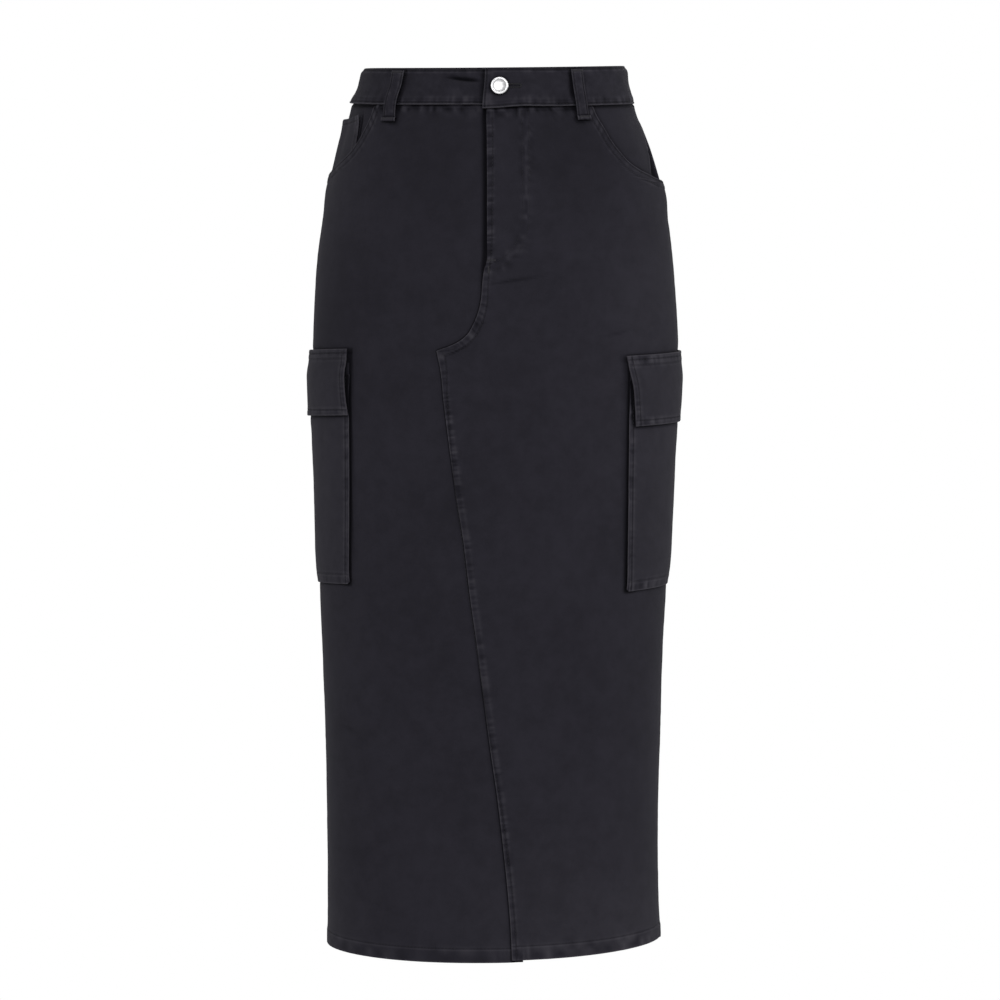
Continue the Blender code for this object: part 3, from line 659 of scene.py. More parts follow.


def twill():
    """Black cotton twill: diagonal ribs of yarn, a mottled wash, paler on raised cloth by tone, partly wear
    and partly painted highlight, and painted shade where tone is below 0.

    The UV map holds the cloth's own sizes in metres, so the ribs keep their pitch on every piece.
    """
    made, tree, shader = new_material("black_twill")
    cloth_place = add_node(tree, "UVMap", {}, uv_map="cloth").outputs[0]
    turned = add_node(tree, "Mapping", {"Vector": cloth_place, "Rotation": (0.0, 0.0, np.radians(62))})
    rib_values = {
        "Vector": turned.outputs[0],
        "Scale": 2 * np.pi / (20 * TWILL_PITCH * MM),
        "Distortion": 1.4,
        "Detail": 2.0,
        "Detail Scale": 0.7,
    }
    rib_node = add_node(tree, "TexWave", rib_values, wave_type="BANDS", bands_direction="X")
    ribs = rib_node.outputs["Color"]
    yarn = noise(tree, 1500, 2, 0.6)
    wash = noise(tree, 60, 5, 0.7)
    patches = noise(tree, 9, 3, 0.5)
    shade = scaled(tree, wash, WASH_DEPTH, maths(tree, "MULTIPLY", ribs, yarn))
    shade = scaled(tree, patches, PATCH_DEPTH, shade)
    shade = maths(tree, "ADD", shade, 0.4 - 0.5 * (WASH_DEPTH + PATCH_DEPTH))
    colour = ramp(tree, shade, 0.3, 1.0, TWILL_DARK, TWILL_LIGHT)
    tone = tone_of(tree)
    # Tone above 0 tints towards the paler colour, partly wear and partly a painted highlight, and tone below
    # 0 towards near black, a painted shade.
    worn_and_highlight = maths(tree, "MULTIPLY", maths(tree, "MAXIMUM", tone, 0.0), maths(tree, "ADD", wash, 0.4))
    painted_shade = maths(tree, "MAXIMUM", maths(tree, "MULTIPLY", tone, -1.0), 0.0)
    colour = tint(tree, painted_shade, tint(tree, worn_and_highlight, colour, TWILL_WORN_AND_HIGHLIGHT), TWILL_PAINTED_SHADE)
    looks = {
        "Base Color": colour,
        "Normal": bump(tree, scaled(tree, ribs, 0.7, yarn), 0.35, 0.00016),
        "Roughness": scaled(tree, wash, 0.12, 0.8),
        "Sheen Weight": 0.03,
        "Sheen Roughness": 0.55,
        "Sheen Tint": (0.85, 0.83, 0.9, 1.0),
        "Specular IOR Level": 0.1,
    }
    feed(shader, looks)
    return made


def thread():
    """Black sewing thread, a little smoother than the cloth."""
    made, tree, shader = new_material("black_thread")
    fibres = noise(tree, 2600, 3, 0.6)
    dark = ramp(tree, fibres, 0.3, 0.7, THREAD_DARK, THREAD_LIGHT)
    looks = {
        # Where tone is above 0, at the bartacks, the thread is painted paler, a painted sheen
        "Base Color": tint(tree, tone_of(tree), dark, THREAD_SHINY),
        "Normal": bump(tree, fibres, 0.3, 0.0001),
        "Roughness": scaled(tree, fibres, 0.2, 0.55),
        "Specular IOR Level": 0.2,
    }
    feed(shader, looks)
    return made


def nickel():
    """Satin nickel of the tack button, faintly brushed and hazed."""
    made, tree, shader = new_material("satin_nickel")
    haze = noise(tree, 420, 4, 0.6)
    looks = {
        "Base Color": ramp(tree, haze, 0.25, 0.75, (0.50, 0.50, 0.51), (0.70, 0.70, 0.71)),
        "Normal": bump(tree, haze, 0.08, 0.0002),
        "Roughness": scaled(tree, haze, 0.16, 0.24),
        "Metallic": 1.0,
    }
    feed(shader, looks)
    return made


CLOTH = twill()
THREAD = thread()
NICKEL = nickel()


# ---------------------------------------------------------------- making shells

NO_TRIANGLES = np.zeros((0, 3), int)
EDGE_ROUND = 0.62  # how wide the round of a shell's edge is, for its thickness


def new_object(name, data):
    made = bpy.data.objects.new(name, data)
    bpy.context.collection.objects.link(made)
    return made


def add_mesh(name, points, quads, triangles, look, slot, tone=None):
    """A smooth mesh object from arrays of points, quads, triangles and, for cloth, tones."""
    corners = np.concatenate([quads.ravel(), triangles.ravel()]).astype(np.int32)
    sizes = np.repeat([4, 3], [len(quads), len(triangles)])
    mesh = bpy.data.meshes.new(name)
    mesh.vertices.add(len(points))
    mesh.vertices.foreach_set("co", np.ascontiguousarray(points, np.float32).ravel())
    mesh.loops.add(len(corners))
    mesh.loops.foreach_set("vertex_index", corners)
    mesh.polygons.add(len(sizes))
    mesh.polygons.foreach_set("loop_start", (np.cumsum(sizes) - sizes).astype(np.int32))
    mesh.update(calc_edges=True)
    mesh.validate()
    mesh.shade_smooth()
    mesh.materials.append(look)
    if tone is not None:
        toned = mesh.attributes.new("tone", "FLOAT", "POINT")
        toned.data.foreach_set("value", np.clip(tone, -1, 1).astype(np.float32))
    made = new_object(name, mesh)
    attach(made, "root")
    return made


def shell(name, along, drop, lie, thickness, rim, radius=None, inner_lift=0.0, kept=None):
    """A closed shell of cloth on a net of pattern places, rows down and columns along.

    lie says where the outer face lies, and rim how far each place is from the piece's nearest
    edge, over which the shell's two faces draw together in a round of that radius. inner_lift
    thickens it inwards, and kept says which of the net's cells it has.
    """
    along, drop, out, tone, rim = np.broadcast_arrays(along, drop, lie.out, lie.tone, rim)
    radius = thickness * EDGE_ROUND if radius is None else radius
    half = thickness / 2 * np.sqrt(np.clip(1 - (1 - np.clip(rim / radius, 0, 1)) ** 2, 0, 1))
    middle = out - thickness / 2
    outer = place(along, drop, middle + half).reshape(-1, 3)
    inner = place(along, drop, middle - half - inner_lift * (half > 0)).reshape(-1, 3)
    rows, columns = along.shape
    kept = np.ones((rows - 1, columns - 1), bool) if kept is None else kept
    number = np.arange(along.size).reshape(rows, columns)
    filled = np.pad(kept, 1)
    around = np.stack([filled[:-1, :-1], filled[:-1, 1:], filled[1:, :-1], filled[1:, 1:]])
    touched, used = around.all(axis=0), around.any(axis=0)
    beneath = np.where(touched, number + along.size, number)

    def cells(index):
        return np.stack([index[:-1, :-1], index[1:, :-1], index[1:, 1:], index[:-1, 1:]], axis=2)[kept]

    quads = np.concatenate([cells(number), cells(beneath)[:, ::-1]])
    edge = (used & ~touched).ravel()
    outer[edge] = (outer[edge] + inner[edge]) / 2
    keep = np.zeros(2 * along.size, bool)
    keep[number[used]] = True
    keep[beneath[used]] = True
    points = np.concatenate([outer, inner])[keep]
    tones = np.append(tone, 0 * tone)[keep]
    made = add_mesh(name, points, (np.cumsum(keep) - 1)[quads], NO_TRIANGLES, CLOTH, "twill", tones)
    corners = np.zeros(len(made.data.loops), np.int32)
    made.data.loops.foreach_get("vertex_index", corners)
    uv = np.tile(path(along, -drop).reshape(-1, 2), (2, 1))[keep][corners] * MM
    made.data.uv_layers.new(name="cloth").data.foreach_set("uv", uv.astype(np.float32).ravel())
    return made


def ladder(*steps):
    """Distances from an edge, which begin close together to round it."""
    return np.append(0.0, np.cumsum((0.06, 0.16, 0.26, 0.4, *steps)))


UNDER_EDGE = ladder(2.2, 4.4, 2.0, *(0.7,) * 9, 0.9, 1.2, 1.6, 2.0, 2.6, 3.4, 4.4)
STITCHED_EDGE = ladder(0.5, 0.6, 0.6, 0.7, 0.9, 1.0, 0.7, 0.6, 0.7, 0.7, 0.9, 1.2, 1.6, 2.0, 2.6, 3.2, 4.0)
PLAIN_EDGE = ladder(0.7, 1.0, 1.4, 2.0, 2.8, 3.6, 4.2)
SMALL_EDGE = ladder(0.3, 0.4, 0.4, 0.4, 0.5, 0.7, 0.8, 0.6, 0.5, 0.5, 0.7, 1.0)
TOP_EDGE = ladder(0.5, 0.6, 0.7, 0.8, 0.9, 1.1, 1.4, 1.6)
HEM_EDGE = ladder(0.9, 1.6, 2.2, 2.4, 1.8, 1.0, 0.7, 0.6, 0.7, 0.9, 1.4, 2.0, 2.6)
LOOP_EDGE = ladder(0.3, 0.4, 0.4, 0.5, 0.6)
GUSSET_EDGE = np.array([0.0, 0.06, 0.22, 0.5, 1.0, 2.4, 5.0, 7.6, 9.0, 9.5, 9.78, 9.94, GUSSET_WIDTH])
STEP_ACROSS = 7.0
STEP_DOWN = 1.6
FAR = 1000.0  # what the distance to an edge counts as where it doesn't matter


class Columns:
    """Columns from near to far: at set distances from each edge, and about step apart between.

    width is about how wide the piece is. Rows are made in the same way.
    """

    def __init__(self, near_steps, far_steps, width, step=STEP_ACROSS):
        between = width - near_steps[-1] - far_steps[-1]
        share = np.linspace(0, 1, max(2, int(np.ceil(between / step)) + 1))[1:-1]
        self.share = np.concatenate([0 * near_steps, share, 0 * far_steps + 1])
        middle = near_steps[-1] * (1 - share) - far_steps[-1] * share
        self.shift = np.concatenate([near_steps, middle, -far_steps[::-1]])
        from_far = np.where(self.share == 1, -self.shift, FAR)
        self.rim = np.minimum(np.where(self.share == 0, self.shift, FAR), from_far)

    def between(self, near, far):
        return near * (1 - self.share) + far * self.share + self.shift


def rim_of(columns, rows):
    return np.minimum(columns.rim, rows.rim[:, None])


# A line on the cloth beside which a panel's columns lie closer together, between two drops
Line = namedtuple("Line", "along start end width")
GATHER = 0.87
GATHER_FADE = 40.0
POCKET_GATHER_WIDTH = 20.0
LOOP_GATHER_WIDTH = 13.0
TOP_BEND = 45.0  # how far down a panel its rows still follow the waistband's lower edge
PATH_STEP = 2.5  # how far apart the places of most stitched rows are


def gather(along, drop, lines):
    for line in lines:
        within = ease((drop - line.start) / GATHER_FADE + 1) * (1 - ease((drop - line.end) / GATHER_FADE))
        off = along - line.along(drop)
        along = along - GATHER * within * off * bell(off, line.width)
    return along


def pocket_lines(hand):
    """The lines of a cargo pocket's front and back edges."""

    def edge(across, drop):
        return hand * (side(drop) + pocket_shift(hand, drop) + across)

    ends = POCKET[hand].flap_top, POCKET[hand].bottom
    return [Line(partial(edge, across), *ends, POCKET_GATHER_WIDTH) for across in (-POCKET_HALF, POCKET_HALF)]


def panel_net(hand, near, far, hem, columns, path_drops, lines):
    """A panel's pattern places, and how far each is from the panel's edges."""
    top_rows = BAND_SEAM_LEFT + TOP_EDGE
    hem_rows = hem - HEM_EDGE[::-1]
    path_drops = path_drops[(path_drops > top_rows[-1] + 1.0) & (path_drops < hem_rows[0] - 1.0)]
    level = np.concatenate([top_rows, path_drops, hem_rows])[:, None]
    drop = np.repeat(level, len(columns.share), axis=1)
    along = columns.between(near(drop), far(drop))
    lower = band_foot(hand, along[0]) - BAND_TUCK - level[0]
    drop = drop + lower * (1 - ease((level - level[0]) / TOP_BEND))
    along = gather(columns.between(near(drop), far(drop)), drop, lines)
    return along, drop, np.minimum(columns.rim, np.minimum(level - level[0], hem - level))


def tube_quads(index):
    """Quads between rings of point numbers, each ring closed on itself."""
    following = np.roll(index, -1, axis=-1)
    corners = [index[..., :-1, :], following[..., :-1, :], following[..., 1:, :], index[..., 1:, :]]
    return np.stack(corners, axis=-1).reshape(-1, 4)


# ---------------------------------------------------------------- stitching

STITCH = 2.9
STITCH_GAP = 0.55
STITCH_SINK = 0.30
THREAD_RADIUS = 0.24
THREAD_SIDES = 5
TACK_RADIUS = 0.3
TACK_RISE = 0.45
# The bartacks' thread is painted towards the paler colour by this much, a painted sheen
TACK_TONE = 0.5
# The rings of a stitch: how far along it each is, its share of the rise and of the width, and
# whether it is sunk in the cloth
STITCH_RINGS = table(
    "along up wide sunk",
    (0, 0, 0.75, 1), (0.22, 0.6, 1, 0), (0.5, 1, 1, 0), (0.78, 0.6, 1, 0), (1, 0, 0.75, 1),
)
threads = {}


def stitches(group, starts, ends, lie, radius=THREAD_RADIUS, rise=0.2, tone=0.0):
    """Stitches from starts to ends, arrays of (along, drop), on cloth whose lie is a function."""
    at = starts[:, None] + (ends - starts)[:, None] * STITCH_RINGS.along[:, None]
    along, drop = at[..., 0], at[..., 1]
    height = STITCH_RINGS.up * rise - STITCH_RINGS.sunk * STITCH_SINK
    centre = place(along, drop, lie(along, drop).out + height)
    thick = radius * STITCH_RINGS.wide * MM
    threads.setdefault(group, []).append((centre, outward(along, drop), thick, tone))


def stitch_line(group, line, lie, length=STITCH, gap=STITCH_GAP):
    """Lockstitches along a path."""
    run = np.append(0, np.cumsum(np.hypot(*np.diff(line, axis=0).T)))
    count = max(1, int(run[-1] / (length + gap)))
    begin = np.arange(count) * (run[-1] / count)
    ends = (path(*(np.interp(at, run, c) for c in line.T)) for at in (begin, begin + run[-1] / count - gap))
    stitches(group, *ends, lie)


def bartack(group, along, drop, length, width, degrees, lie, count=15):
    """A dense row of short threads, length long and width across, turned from level."""
    turn = np.radians(degrees)
    line = np.array([np.cos(turn), np.sin(turn)])
    across = np.array([-line[1], line[0]]) * width / 2
    middle = np.array([along, drop]) + np.linspace(-0.5, 0.5, count)[:, None] * length * line
    stitches(group, middle - across, middle + across, lie, TACK_RADIUS, TACK_RISE, TACK_TONE)


def finish_threads():
    """Makes each group's stitches into one piece."""
    angle = (np.arange(THREAD_SIDES) / THREAD_SIDES * 2 * np.pi)[:, None]
    for group, runs in threads.items():
        points, quads, triangles, tones, count = [], [], [], [], 0
        for centre, normal, thick, tone in runs:
            run = unit(np.gradient(centre, axis=1))
            sideways = unit(np.cross(run, normal))
            upright = np.cross(sideways, run)
            circle = sideways[:, :, None] * np.cos(angle) + upright[:, :, None] * np.sin(angle)
            body = centre[:, :, None] + circle * thick[:, None, None]
            index = count + np.arange(body.size // 3).reshape(body.shape[:3])
            points.append(body.reshape(-1, 3))
            tones.append(np.full(index.size, tone))
            quads.append(tube_quads(index))
            for fan in (index[:, 0, ::-1], index[:, -1]):
                for k in range(1, THREAD_SIDES - 1):
                    triangles.append(np.stack([fan[:, 0], fan[:, k], fan[:, k + 1]], axis=1))
            count += index.size
        arrays = (np.concatenate(each) for each in (points, quads, triangles))
        add_mesh("stitching_" + group, *arrays, THREAD, "twill", np.concatenate(tones))


# ---------------------------------------------------------------- what the panels share

TOP_TUCK = 1.5  # how far a panel's upper edge is pressed in behind the waistband
TOP_FOLD = 3.6  # below the waistband, where its turned-in edge shows through, painted a little darker as a painted shade
TOP_PUCKER = 0.34
TOP_PUCKER_REACH = 9.0
# The crevices beside and below a cargo pocket are sunk, and painted darker as a painted shade
POCKET_CREVICE = 0.4
POCKET_CREVICE_WIDTH = 1.3
POCKET_FOOT_CREVICE = 0.3
POCKET_FOOT_WIDTH = 1.2
LOOP_PRESS = 0.4
LOOP_SHADE_FRONT = 2.9  # how far the painted shade beside a belt loop spreads, before it and behind it
LOOP_SHADE_BACK = 1.4
HEM_TURN = 14.0  # how high the hem's stitched turning is
HEM_THICKENING = 0.9


def behind_band(below):
    """1 where a piece runs up behind the waistband, 0 from a little below the band's lower edge."""
    return 1 - ease((below + 1.2) / 4.0)


def loop_middle(loop, drop):
    share = loop.top + (loop.foot - loop.top) * (drop - LOOP_START) / (LOOP_END - LOOP_START)
    return share * half_girth(drop)


def beside_loops(along, drop):
    """1 beneath the belt loops and beside them, further so towards the front, 0 elsewhere: where the cloth is
    pressed in and given a painted shade.
    """
    total, turn = 0.0 * along * drop, 2 * half_girth(drop)
    for loop in LOOPS:
        off = (along - loop_middle(loop, drop) + turn / 2) % turn - turn / 2
        beyond = np.maximum(np.abs(off) - loop.width / 2, np.maximum(LOOP_START - drop, drop - LOOP_END))
        reach = np.where(off * loop.top < 0, LOOP_SHADE_FRONT, LOOP_SHADE_BACK)
        total = np.maximum(total, past(beyond, reach))
    return total


def pocket_shift(hand, drop):
    """How far behind the side seam a cargo pocket's middle lies."""
    pocket = POCKET[hand]
    down = (drop - pocket.flap_top) / (pocket.bottom - pocket.flap_top)
    return pocket.shift_top + (pocket.shift_bottom - pocket.shift_top) * down


def on_pocket(hand, across, level):
    """Pattern places for a pocket's own sizes.

    across runs from the pocket's middle towards its back edge, and level is the drop that a place
    has at the middle.
    """
    drop = level + POCKET[hand].front_rise * across / POCKET_HALF
    return hand * (side(drop) + pocket_shift(hand, drop) + across), drop


def from_pocket(hand, along, drop):
    """A pattern place in the pocket's own sizes."""
    across = hand * along - side(drop) - pocket_shift(hand, drop)
    return across, drop - POCKET[hand].front_rise * across / POCKET_HALF


def finish_panel(lie, along, drop, hem, hand):
    """The hem, the waistband seam, and where other pieces press on a panel, with painted shade and highlight.
    """
    lie.sew(HEM_SEAM, hem - drop, along)
    below = drop - band_foot(hand, along)
    lie.hollow(behind_band(below), TOP_TUCK, 0.0)
    # Painted shade beneath the waistband's lower edge
    lie.hollow(past(below, 1.5), 0.0)
    lie.hollow(bell(below - TOP_FOLD, 0.9), 0.15, -0.3)
    # The puckers below the waistband are painted paler on their crests and darker in their dips, a painted
    # highlight and shade
    pucker = soft_noise(along, drop, 3.4, 21, 1.8) * past(below, TOP_PUCKER_REACH)
    lie.add(TOP_PUCKER * pucker, pucker)
    # Painted shade beside the belt loops, and in the crevices beside and below the cargo pocket
    lie.hollow(beside_loops(along, drop), LOOP_PRESS)
    pocket = POCKET[hand]
    across, level = from_pocket(hand, along, drop)
    outside = np.abs(across) - POCKET_HALF
    beside = ease((level - pocket.flap_top) / 6) * (1 - ease((level - pocket.bottom) / 3))
    lie.hollow(beside * past(outside, POCKET_CREVICE_WIDTH) * (outside > -8), POCKET_CREVICE)
    under = np.maximum(level - pocket.bottom, pocket.flap_top - level)
    along_foot = (under > -6) * (1 - ease((outside - 1) / 2))
    lie.hollow(along_foot * past(under, POCKET_FOOT_WIDTH), POCKET_FOOT_CREVICE, -0.7)


def panel_shell(name, net, lie_of, hem):
    """A panel's shell, thicker where its hem is turned up inside."""
    along, drop, rim = net
    turned_up = HEM_THICKENING * (1 - ease((hem - drop - HEM_TURN) / 1.2))
    return shell(name, along, drop, lie_of(along, drop), PANEL_CLOTH, rim, inner_lift=turned_up)


# ---------------------------------------------------------------- the fronts

LAP_UNDER = 11.0  # how far the right front runs on beneath the left front's edge
LAP_RISE = 1.0
LAP_RISE_WIDTH = 20.0
LAP_SINK = 1.7
LAP_LEAN = 0.14  # how far the lower part of the lapping edge runs sideways for its length
LAP_SHADE = 7.5  # how far from the lapping edge the painted shadow on the cloth beneath it reaches
LAP_CURVE = (195, 254)  # the drops between which the lapping edge turns out of the fly
LAP_FIRM = 0.7  # how much less the right front is pressed below the fly, from this drop on
LAP_FIRM_DROP = 145
LAP_DROPS = np.append(even_along(overlap_edge, -10.0, 858.0, PATH_STEP), 858.0)
LAP_PATH = path(overlap_edge(LAP_DROPS), LAP_DROPS)

# The fly's stitching on the left front: two rows down from the waistband that curve to the edge
FLY_STITCH = table(
    "drop along",
    (20, 40.4), (60, 40.0), (100, 39.8), (132, 39.2), (146, 36.4), (157, 31.4), (165, 25.0),
    (171, 17.0), (175, 8.0), (176.5, 2.0),
)
FLY_STRAIGHT_END = FLY_STITCH.drop[4]
FLY_STITCH_ROWS = (-3.4, 3.4)  # how far each row lies from that line
FLY_RIPPLE = 0.21  # the cloth's ripples beside the rows, and the welt on which the rows lie
FLY_RIPPLE_WIDTH = 7.5
FLY_WELT = 0.3
FLY_WELT_WIDTH = 4.5
FLY_DROPS = np.linspace(FLY_STITCH.drop[0], FLY_STITCH.drop[-1], 160)
FLY_STITCH_LINE = path(read(FLY_STITCH, FLY_DROPS), FLY_DROPS)

# How far from the lapping edge its one row of stitching runs
LAP_ROW = table("drop away", (20, 6.0), (200, 6.0), (236, 7.5), (262, 7.0), (292, 4.8), (850, 4.6))


def fly_row(drop):
    """Along, where the middle of the fly's stitching runs."""
    return np.interp(drop, FLY_DROPS, FLY_STITCH_LINE[:, 0])


def front_common(along, drop, hand):
    """What both fronts share: scoop, side seam, waistband seam and hem."""
    from_side, end = side_distance(along, drop), SCOOP[hand].drop[-1]
    sharp = creases(SHARP_CREASES, along, drop)
    # The troughs of the sharp creases are painted darker, a painted shade.
    lie = Lie(ground(along, drop) + scoop_lift(hand, from_side, drop), 0.5 * np.minimum(sharp + 0.1, 0.0))
    # Broad patches of painted light and painted shade
    for middle, level, width, height, tone in zip(*FRONT_PAINTED_LIGHT):
        lie.add(tone=tone * bell(np.hypot((along - middle) / width, (drop - level) / height), 1.0))
    from_scoop = distance_to(scoop_path(hand), along, drop, 20.0)
    lie.sew(SCOOP_SEAM, from_scoop, drop - from_side, drop < end + 6)
    lie.sew(PLAIN_SEAM, from_side, drop, ease((drop - end) / 12))
    finish_panel(lie, along, drop, FRONT_HEM[hand], hand)
    return lie


def front_left_lie(along, drop):
    lie = front_common(along, drop, LEFT)
    from_edge = distance_to(LAP_PATH, along, drop)
    lie.add(fly_lift(along, drop) + LAP_RISE * (1 - ease(from_edge / LAP_RISE_WIDTH)))
    curving = ease((drop - LAP_CURVE[0]) / 40) * (1 - ease((drop - LAP_CURVE[1]) / 8))
    lie.sew(LAP_SEAM, from_edge, drop + (LAP_LEAN - (1 + LAP_LEAN) * curving) * along)
    lie.groove(from_edge - read(LAP_ROW, drop))
    from_stitch = distance_to(FLY_STITCH_LINE, along, drop, 20.0)
    lie.groove(from_stitch - FLY_STITCH_ROWS[1], 0.4)
    ripple = soft_noise(along, drop, 3.2, 17, 1.5) * np.exp(-((from_stitch / FLY_RIPPLE_WIDTH) ** 4))
    lie.add(FLY_RIPPLE * ripple + FLY_WELT * bell(from_stitch, FLY_WELT_WIDTH))
    # The ripples are painted paler on their crests and darker in their dips, and the welt a little paler: a
    # painted highlight and shade
    lie.add(tone=2 * FLY_RIPPLE * ripple + 0.06 * bell(from_stitch, 6.0))
    return lie


def front_right_lie(along, drop):
    """The right front, pressed in where the left one laps over it, with a painted shadow beneath the lapping
    edge.
    """
    lie = front_common(along, drop, RIGHT)
    beyond = np.sign(along - overlap_edge(drop)) * distance_to(LAP_PATH, along, drop)
    strength = 1 - LAP_FIRM * ease((drop - LAP_FIRM_DROP) / 60)
    lie.out = lie.out * (1 - ease((beyond + 3.0) / 6.0))
    lie.hollow(ease((beyond + 5.0) / 4.5), LAP_SINK * strength, 0.0)
    lie.hollow(ease((beyond + 0.5) / 9.0), 1.1, 0.0)
    lie.tone = lie.tone * (beyond < 0)
    reach = LAP_SHADE * (strength - 0.05)
    # Painted shadow beneath the lapping edge
    lie.hollow(ease((beyond + reach) / (0.8 * reach)), 0.0)
    return lie


FRONT_LIE = {LEFT: front_left_lie, RIGHT: front_right_lie}


def under_edge(drop):
    """Where the right front ends beneath the left one."""
    return overlap_edge(drop) + LAP_UNDER


def front_panel(name, hand):
    if hand == LEFT:
        near, far = overlap_edge, partial(scoop_edge, LEFT)
        columns = Columns(STITCHED_EDGE, STITCHED_EDGE, width=212.0)
        lines = [Line(fly_row, FLY_STITCH.drop[0], FLY_STRAIGHT_END, 17.0)]
    else:
        near, far = partial(scoop_edge, RIGHT), under_edge
        columns = Columns(STITCHED_EDGE, UNDER_EDGE, width=216.0)
        lines = []
    hem = FRONT_HEM[hand]
    rows = even_along(overlap_edge, BAND_SEAM_LEFT, hem, STEP_DOWN)
    net = panel_net(hand, near, far, hem, columns, rows, lines + pocket_lines(hand))
    return panel_shell(name, net, FRONT_LIE[hand], hem)


# ---------------------------------------------------------------- the backs

DART_SHARE = 0.52  # how far from the side seam to the centre back each back dart lies
DART_LENGTH = 104.0
DART_FADE = 26
DART_DEPTH = 0.55
DART_RISE = 0.35
BACK_STEP_DOWN = 2.8
BACK_UNDER = 2.5  # how far the right back runs under the left at the centre back
BACK_SINK = 1.5


def back_lie(along, drop):
    to_side = np.abs(along) - side(drop)
    to_middle = half_girth(drop) - np.abs(along)
    hand = int(np.sign(along.flat[0]))
    lie = Lie(ground(along, drop))
    lie.sew(PLAIN_SEAM, to_side, drop)
    lie.sew(BACK_SEAM if hand == LEFT else PLAIN_SEAM, to_middle, drop)
    if hand == RIGHT:
        lie.hollow(ease((0.6 - to_middle) / 1.5), BACK_SINK, 0.0)
    dart = np.abs(to_side - DART_SHARE * (half_girth(drop) - side(drop)))
    fade = 1 - ease((drop - DART_LENGTH + DART_FADE) / DART_FADE)
    # The dart's fold is sunk and painted darker, a painted shade
    lie.hollow(fade * bell(dart, 0.9), DART_DEPTH, -0.5)
    lie.add(DART_RISE * fade * bell(dart, 6.0))
    finish_panel(lie, along, drop, HEM_BACK, hand)
    return lie


def back_panel(name, hand):
    def side_edge(drop):
        return hand * side(drop)

    def middle_edge(drop):
        return hand * half_girth(drop) - BACK_UNDER * (hand == RIGHT)

    near, far = (side_edge, middle_edge)[::hand]
    columns = Columns(*(PLAIN_EDGE, STITCHED_EDGE)[::hand], width=226.0, step=6.0)
    rows = np.append(np.arange(30.0, 48.0, STEP_DOWN), np.arange(49.0, HEM_BACK, BACK_STEP_DOWN))
    loops = [loop for loop in LOOPS if 0.5 < hand * loop.top < 1]
    lines = [Line(partial(loop_middle, loop), -20.0, 36.0, LOOP_GATHER_WIDTH) for loop in loops]
    net = panel_net(hand, near, far, HEM_BACK, columns, rows, lines + pocket_lines(hand))
    return panel_shell(name, net, back_lie, HEM_BACK)


# ---------------------------------------------------------------- hip facings and coin pocket

# How far in front of the side seam the left facing's own side line runs, beside a deep gap painted near black
# as a painted shade
SIDE_GAP = table("drop from_side", (46, 3), (59, 10), (75, 19), (90, 28), (108, 34))
SIDE_GAP_DEPTH = 5.0
FACING_TONE = -0.12
FACING_GROUND = 0.6  # how much of the panels' unevenness the facings and the coin pocket have
COIN_GAP_DEPTH = 1.0
COIN_MOUTH_LIFT = 1.4
COIN_SIDE_LIFT = 1.4


def coin_mouth(from_side):
    """Drop of the coin pocket's mouth."""
    return np.interp(from_side, (COIN_BACK, COIN_MOUTH_END), COIN_TOP)


def facing_lie(hand, along, drop):
    from_side = side_distance(along, drop)
    lie = Lie(facing_out(hand, from_side) + FACING_GROUND * ground(along, drop), FACING_TONE)
    # Painted shade beside the scoop's edge and beneath the waistband
    lie.hollow(bell(distance_to(scoop_path(hand), along, drop, 20.0), 3.0), 0.6, -1.0)
    below = drop - band_foot(hand, along)
    lie.hollow(bell(below, 1.6), 0.8)
    lie.hollow(behind_band(below), np.maximum(lie.out + TOP_TUCK, 0.0), 0.0)
    if hand == LEFT:
        inside = from_side - read(SIDE_GAP, drop)
        deep = ease((drop - 44) / 26)
        gap = deep * (1 - ease((inside + 6.0) / 6.0)) * ease(from_side / 5)
        # The gap is painted near black, a painted shade, and the side line beside it paler, a painted
        # highlight
        lie.hollow(gap, SIDE_GAP_DEPTH, -1.0)
        lie.add(0.5 * deep * bell(inside - 1.4, 2.2), 0.8 * deep * bell(inside, 2.4))
    else:
        beside_coin = bell(from_side - read(COIN_FRONT, drop) - 0.9, 1.3)
        # Painted shade in the gap beside the coin pocket
        lie.hollow(ease((drop - COIN_TOP[1] + 3.0) / 6.0) * beside_coin, COIN_GAP_DEPTH)
    return lie


def hip_facing(name, hand):
    def side_edge(drop):
        return hand * side(drop)

    def hidden_edge(drop):
        reach = np.maximum(scoop_reach(hand, drop), FACING_SHORTEST) + FACING_UNDER
        return hand * (side(drop) - reach)

    near, far = (hidden_edge, side_edge)[::hand]
    columns = Columns(PLAIN_EDGE, PLAIN_EDGE, width=90.0, step=1.2)
    end = SCOOP[hand].drop[-1] + FACING_BELOW
    top_rows = band_foot(hand, hand * 180.0) - BAND_TUCK + PLAIN_EDGE
    rows = np.arange(30.0, end, 1.3)
    level = np.append(top_rows, rows[rows > top_rows[-1] + 1])
    level = np.append(level[level < end - 1.2], [end - 0.5, end])[:, None]
    drop = np.repeat(level, len(columns.share), axis=1)
    along = columns.between(near(drop), far(drop))
    rim = np.minimum(columns.rim, np.minimum(level - level[0], end - level))
    return shell(name, along, drop, facing_lie(hand, along, drop), FACING_CLOTH, rim)


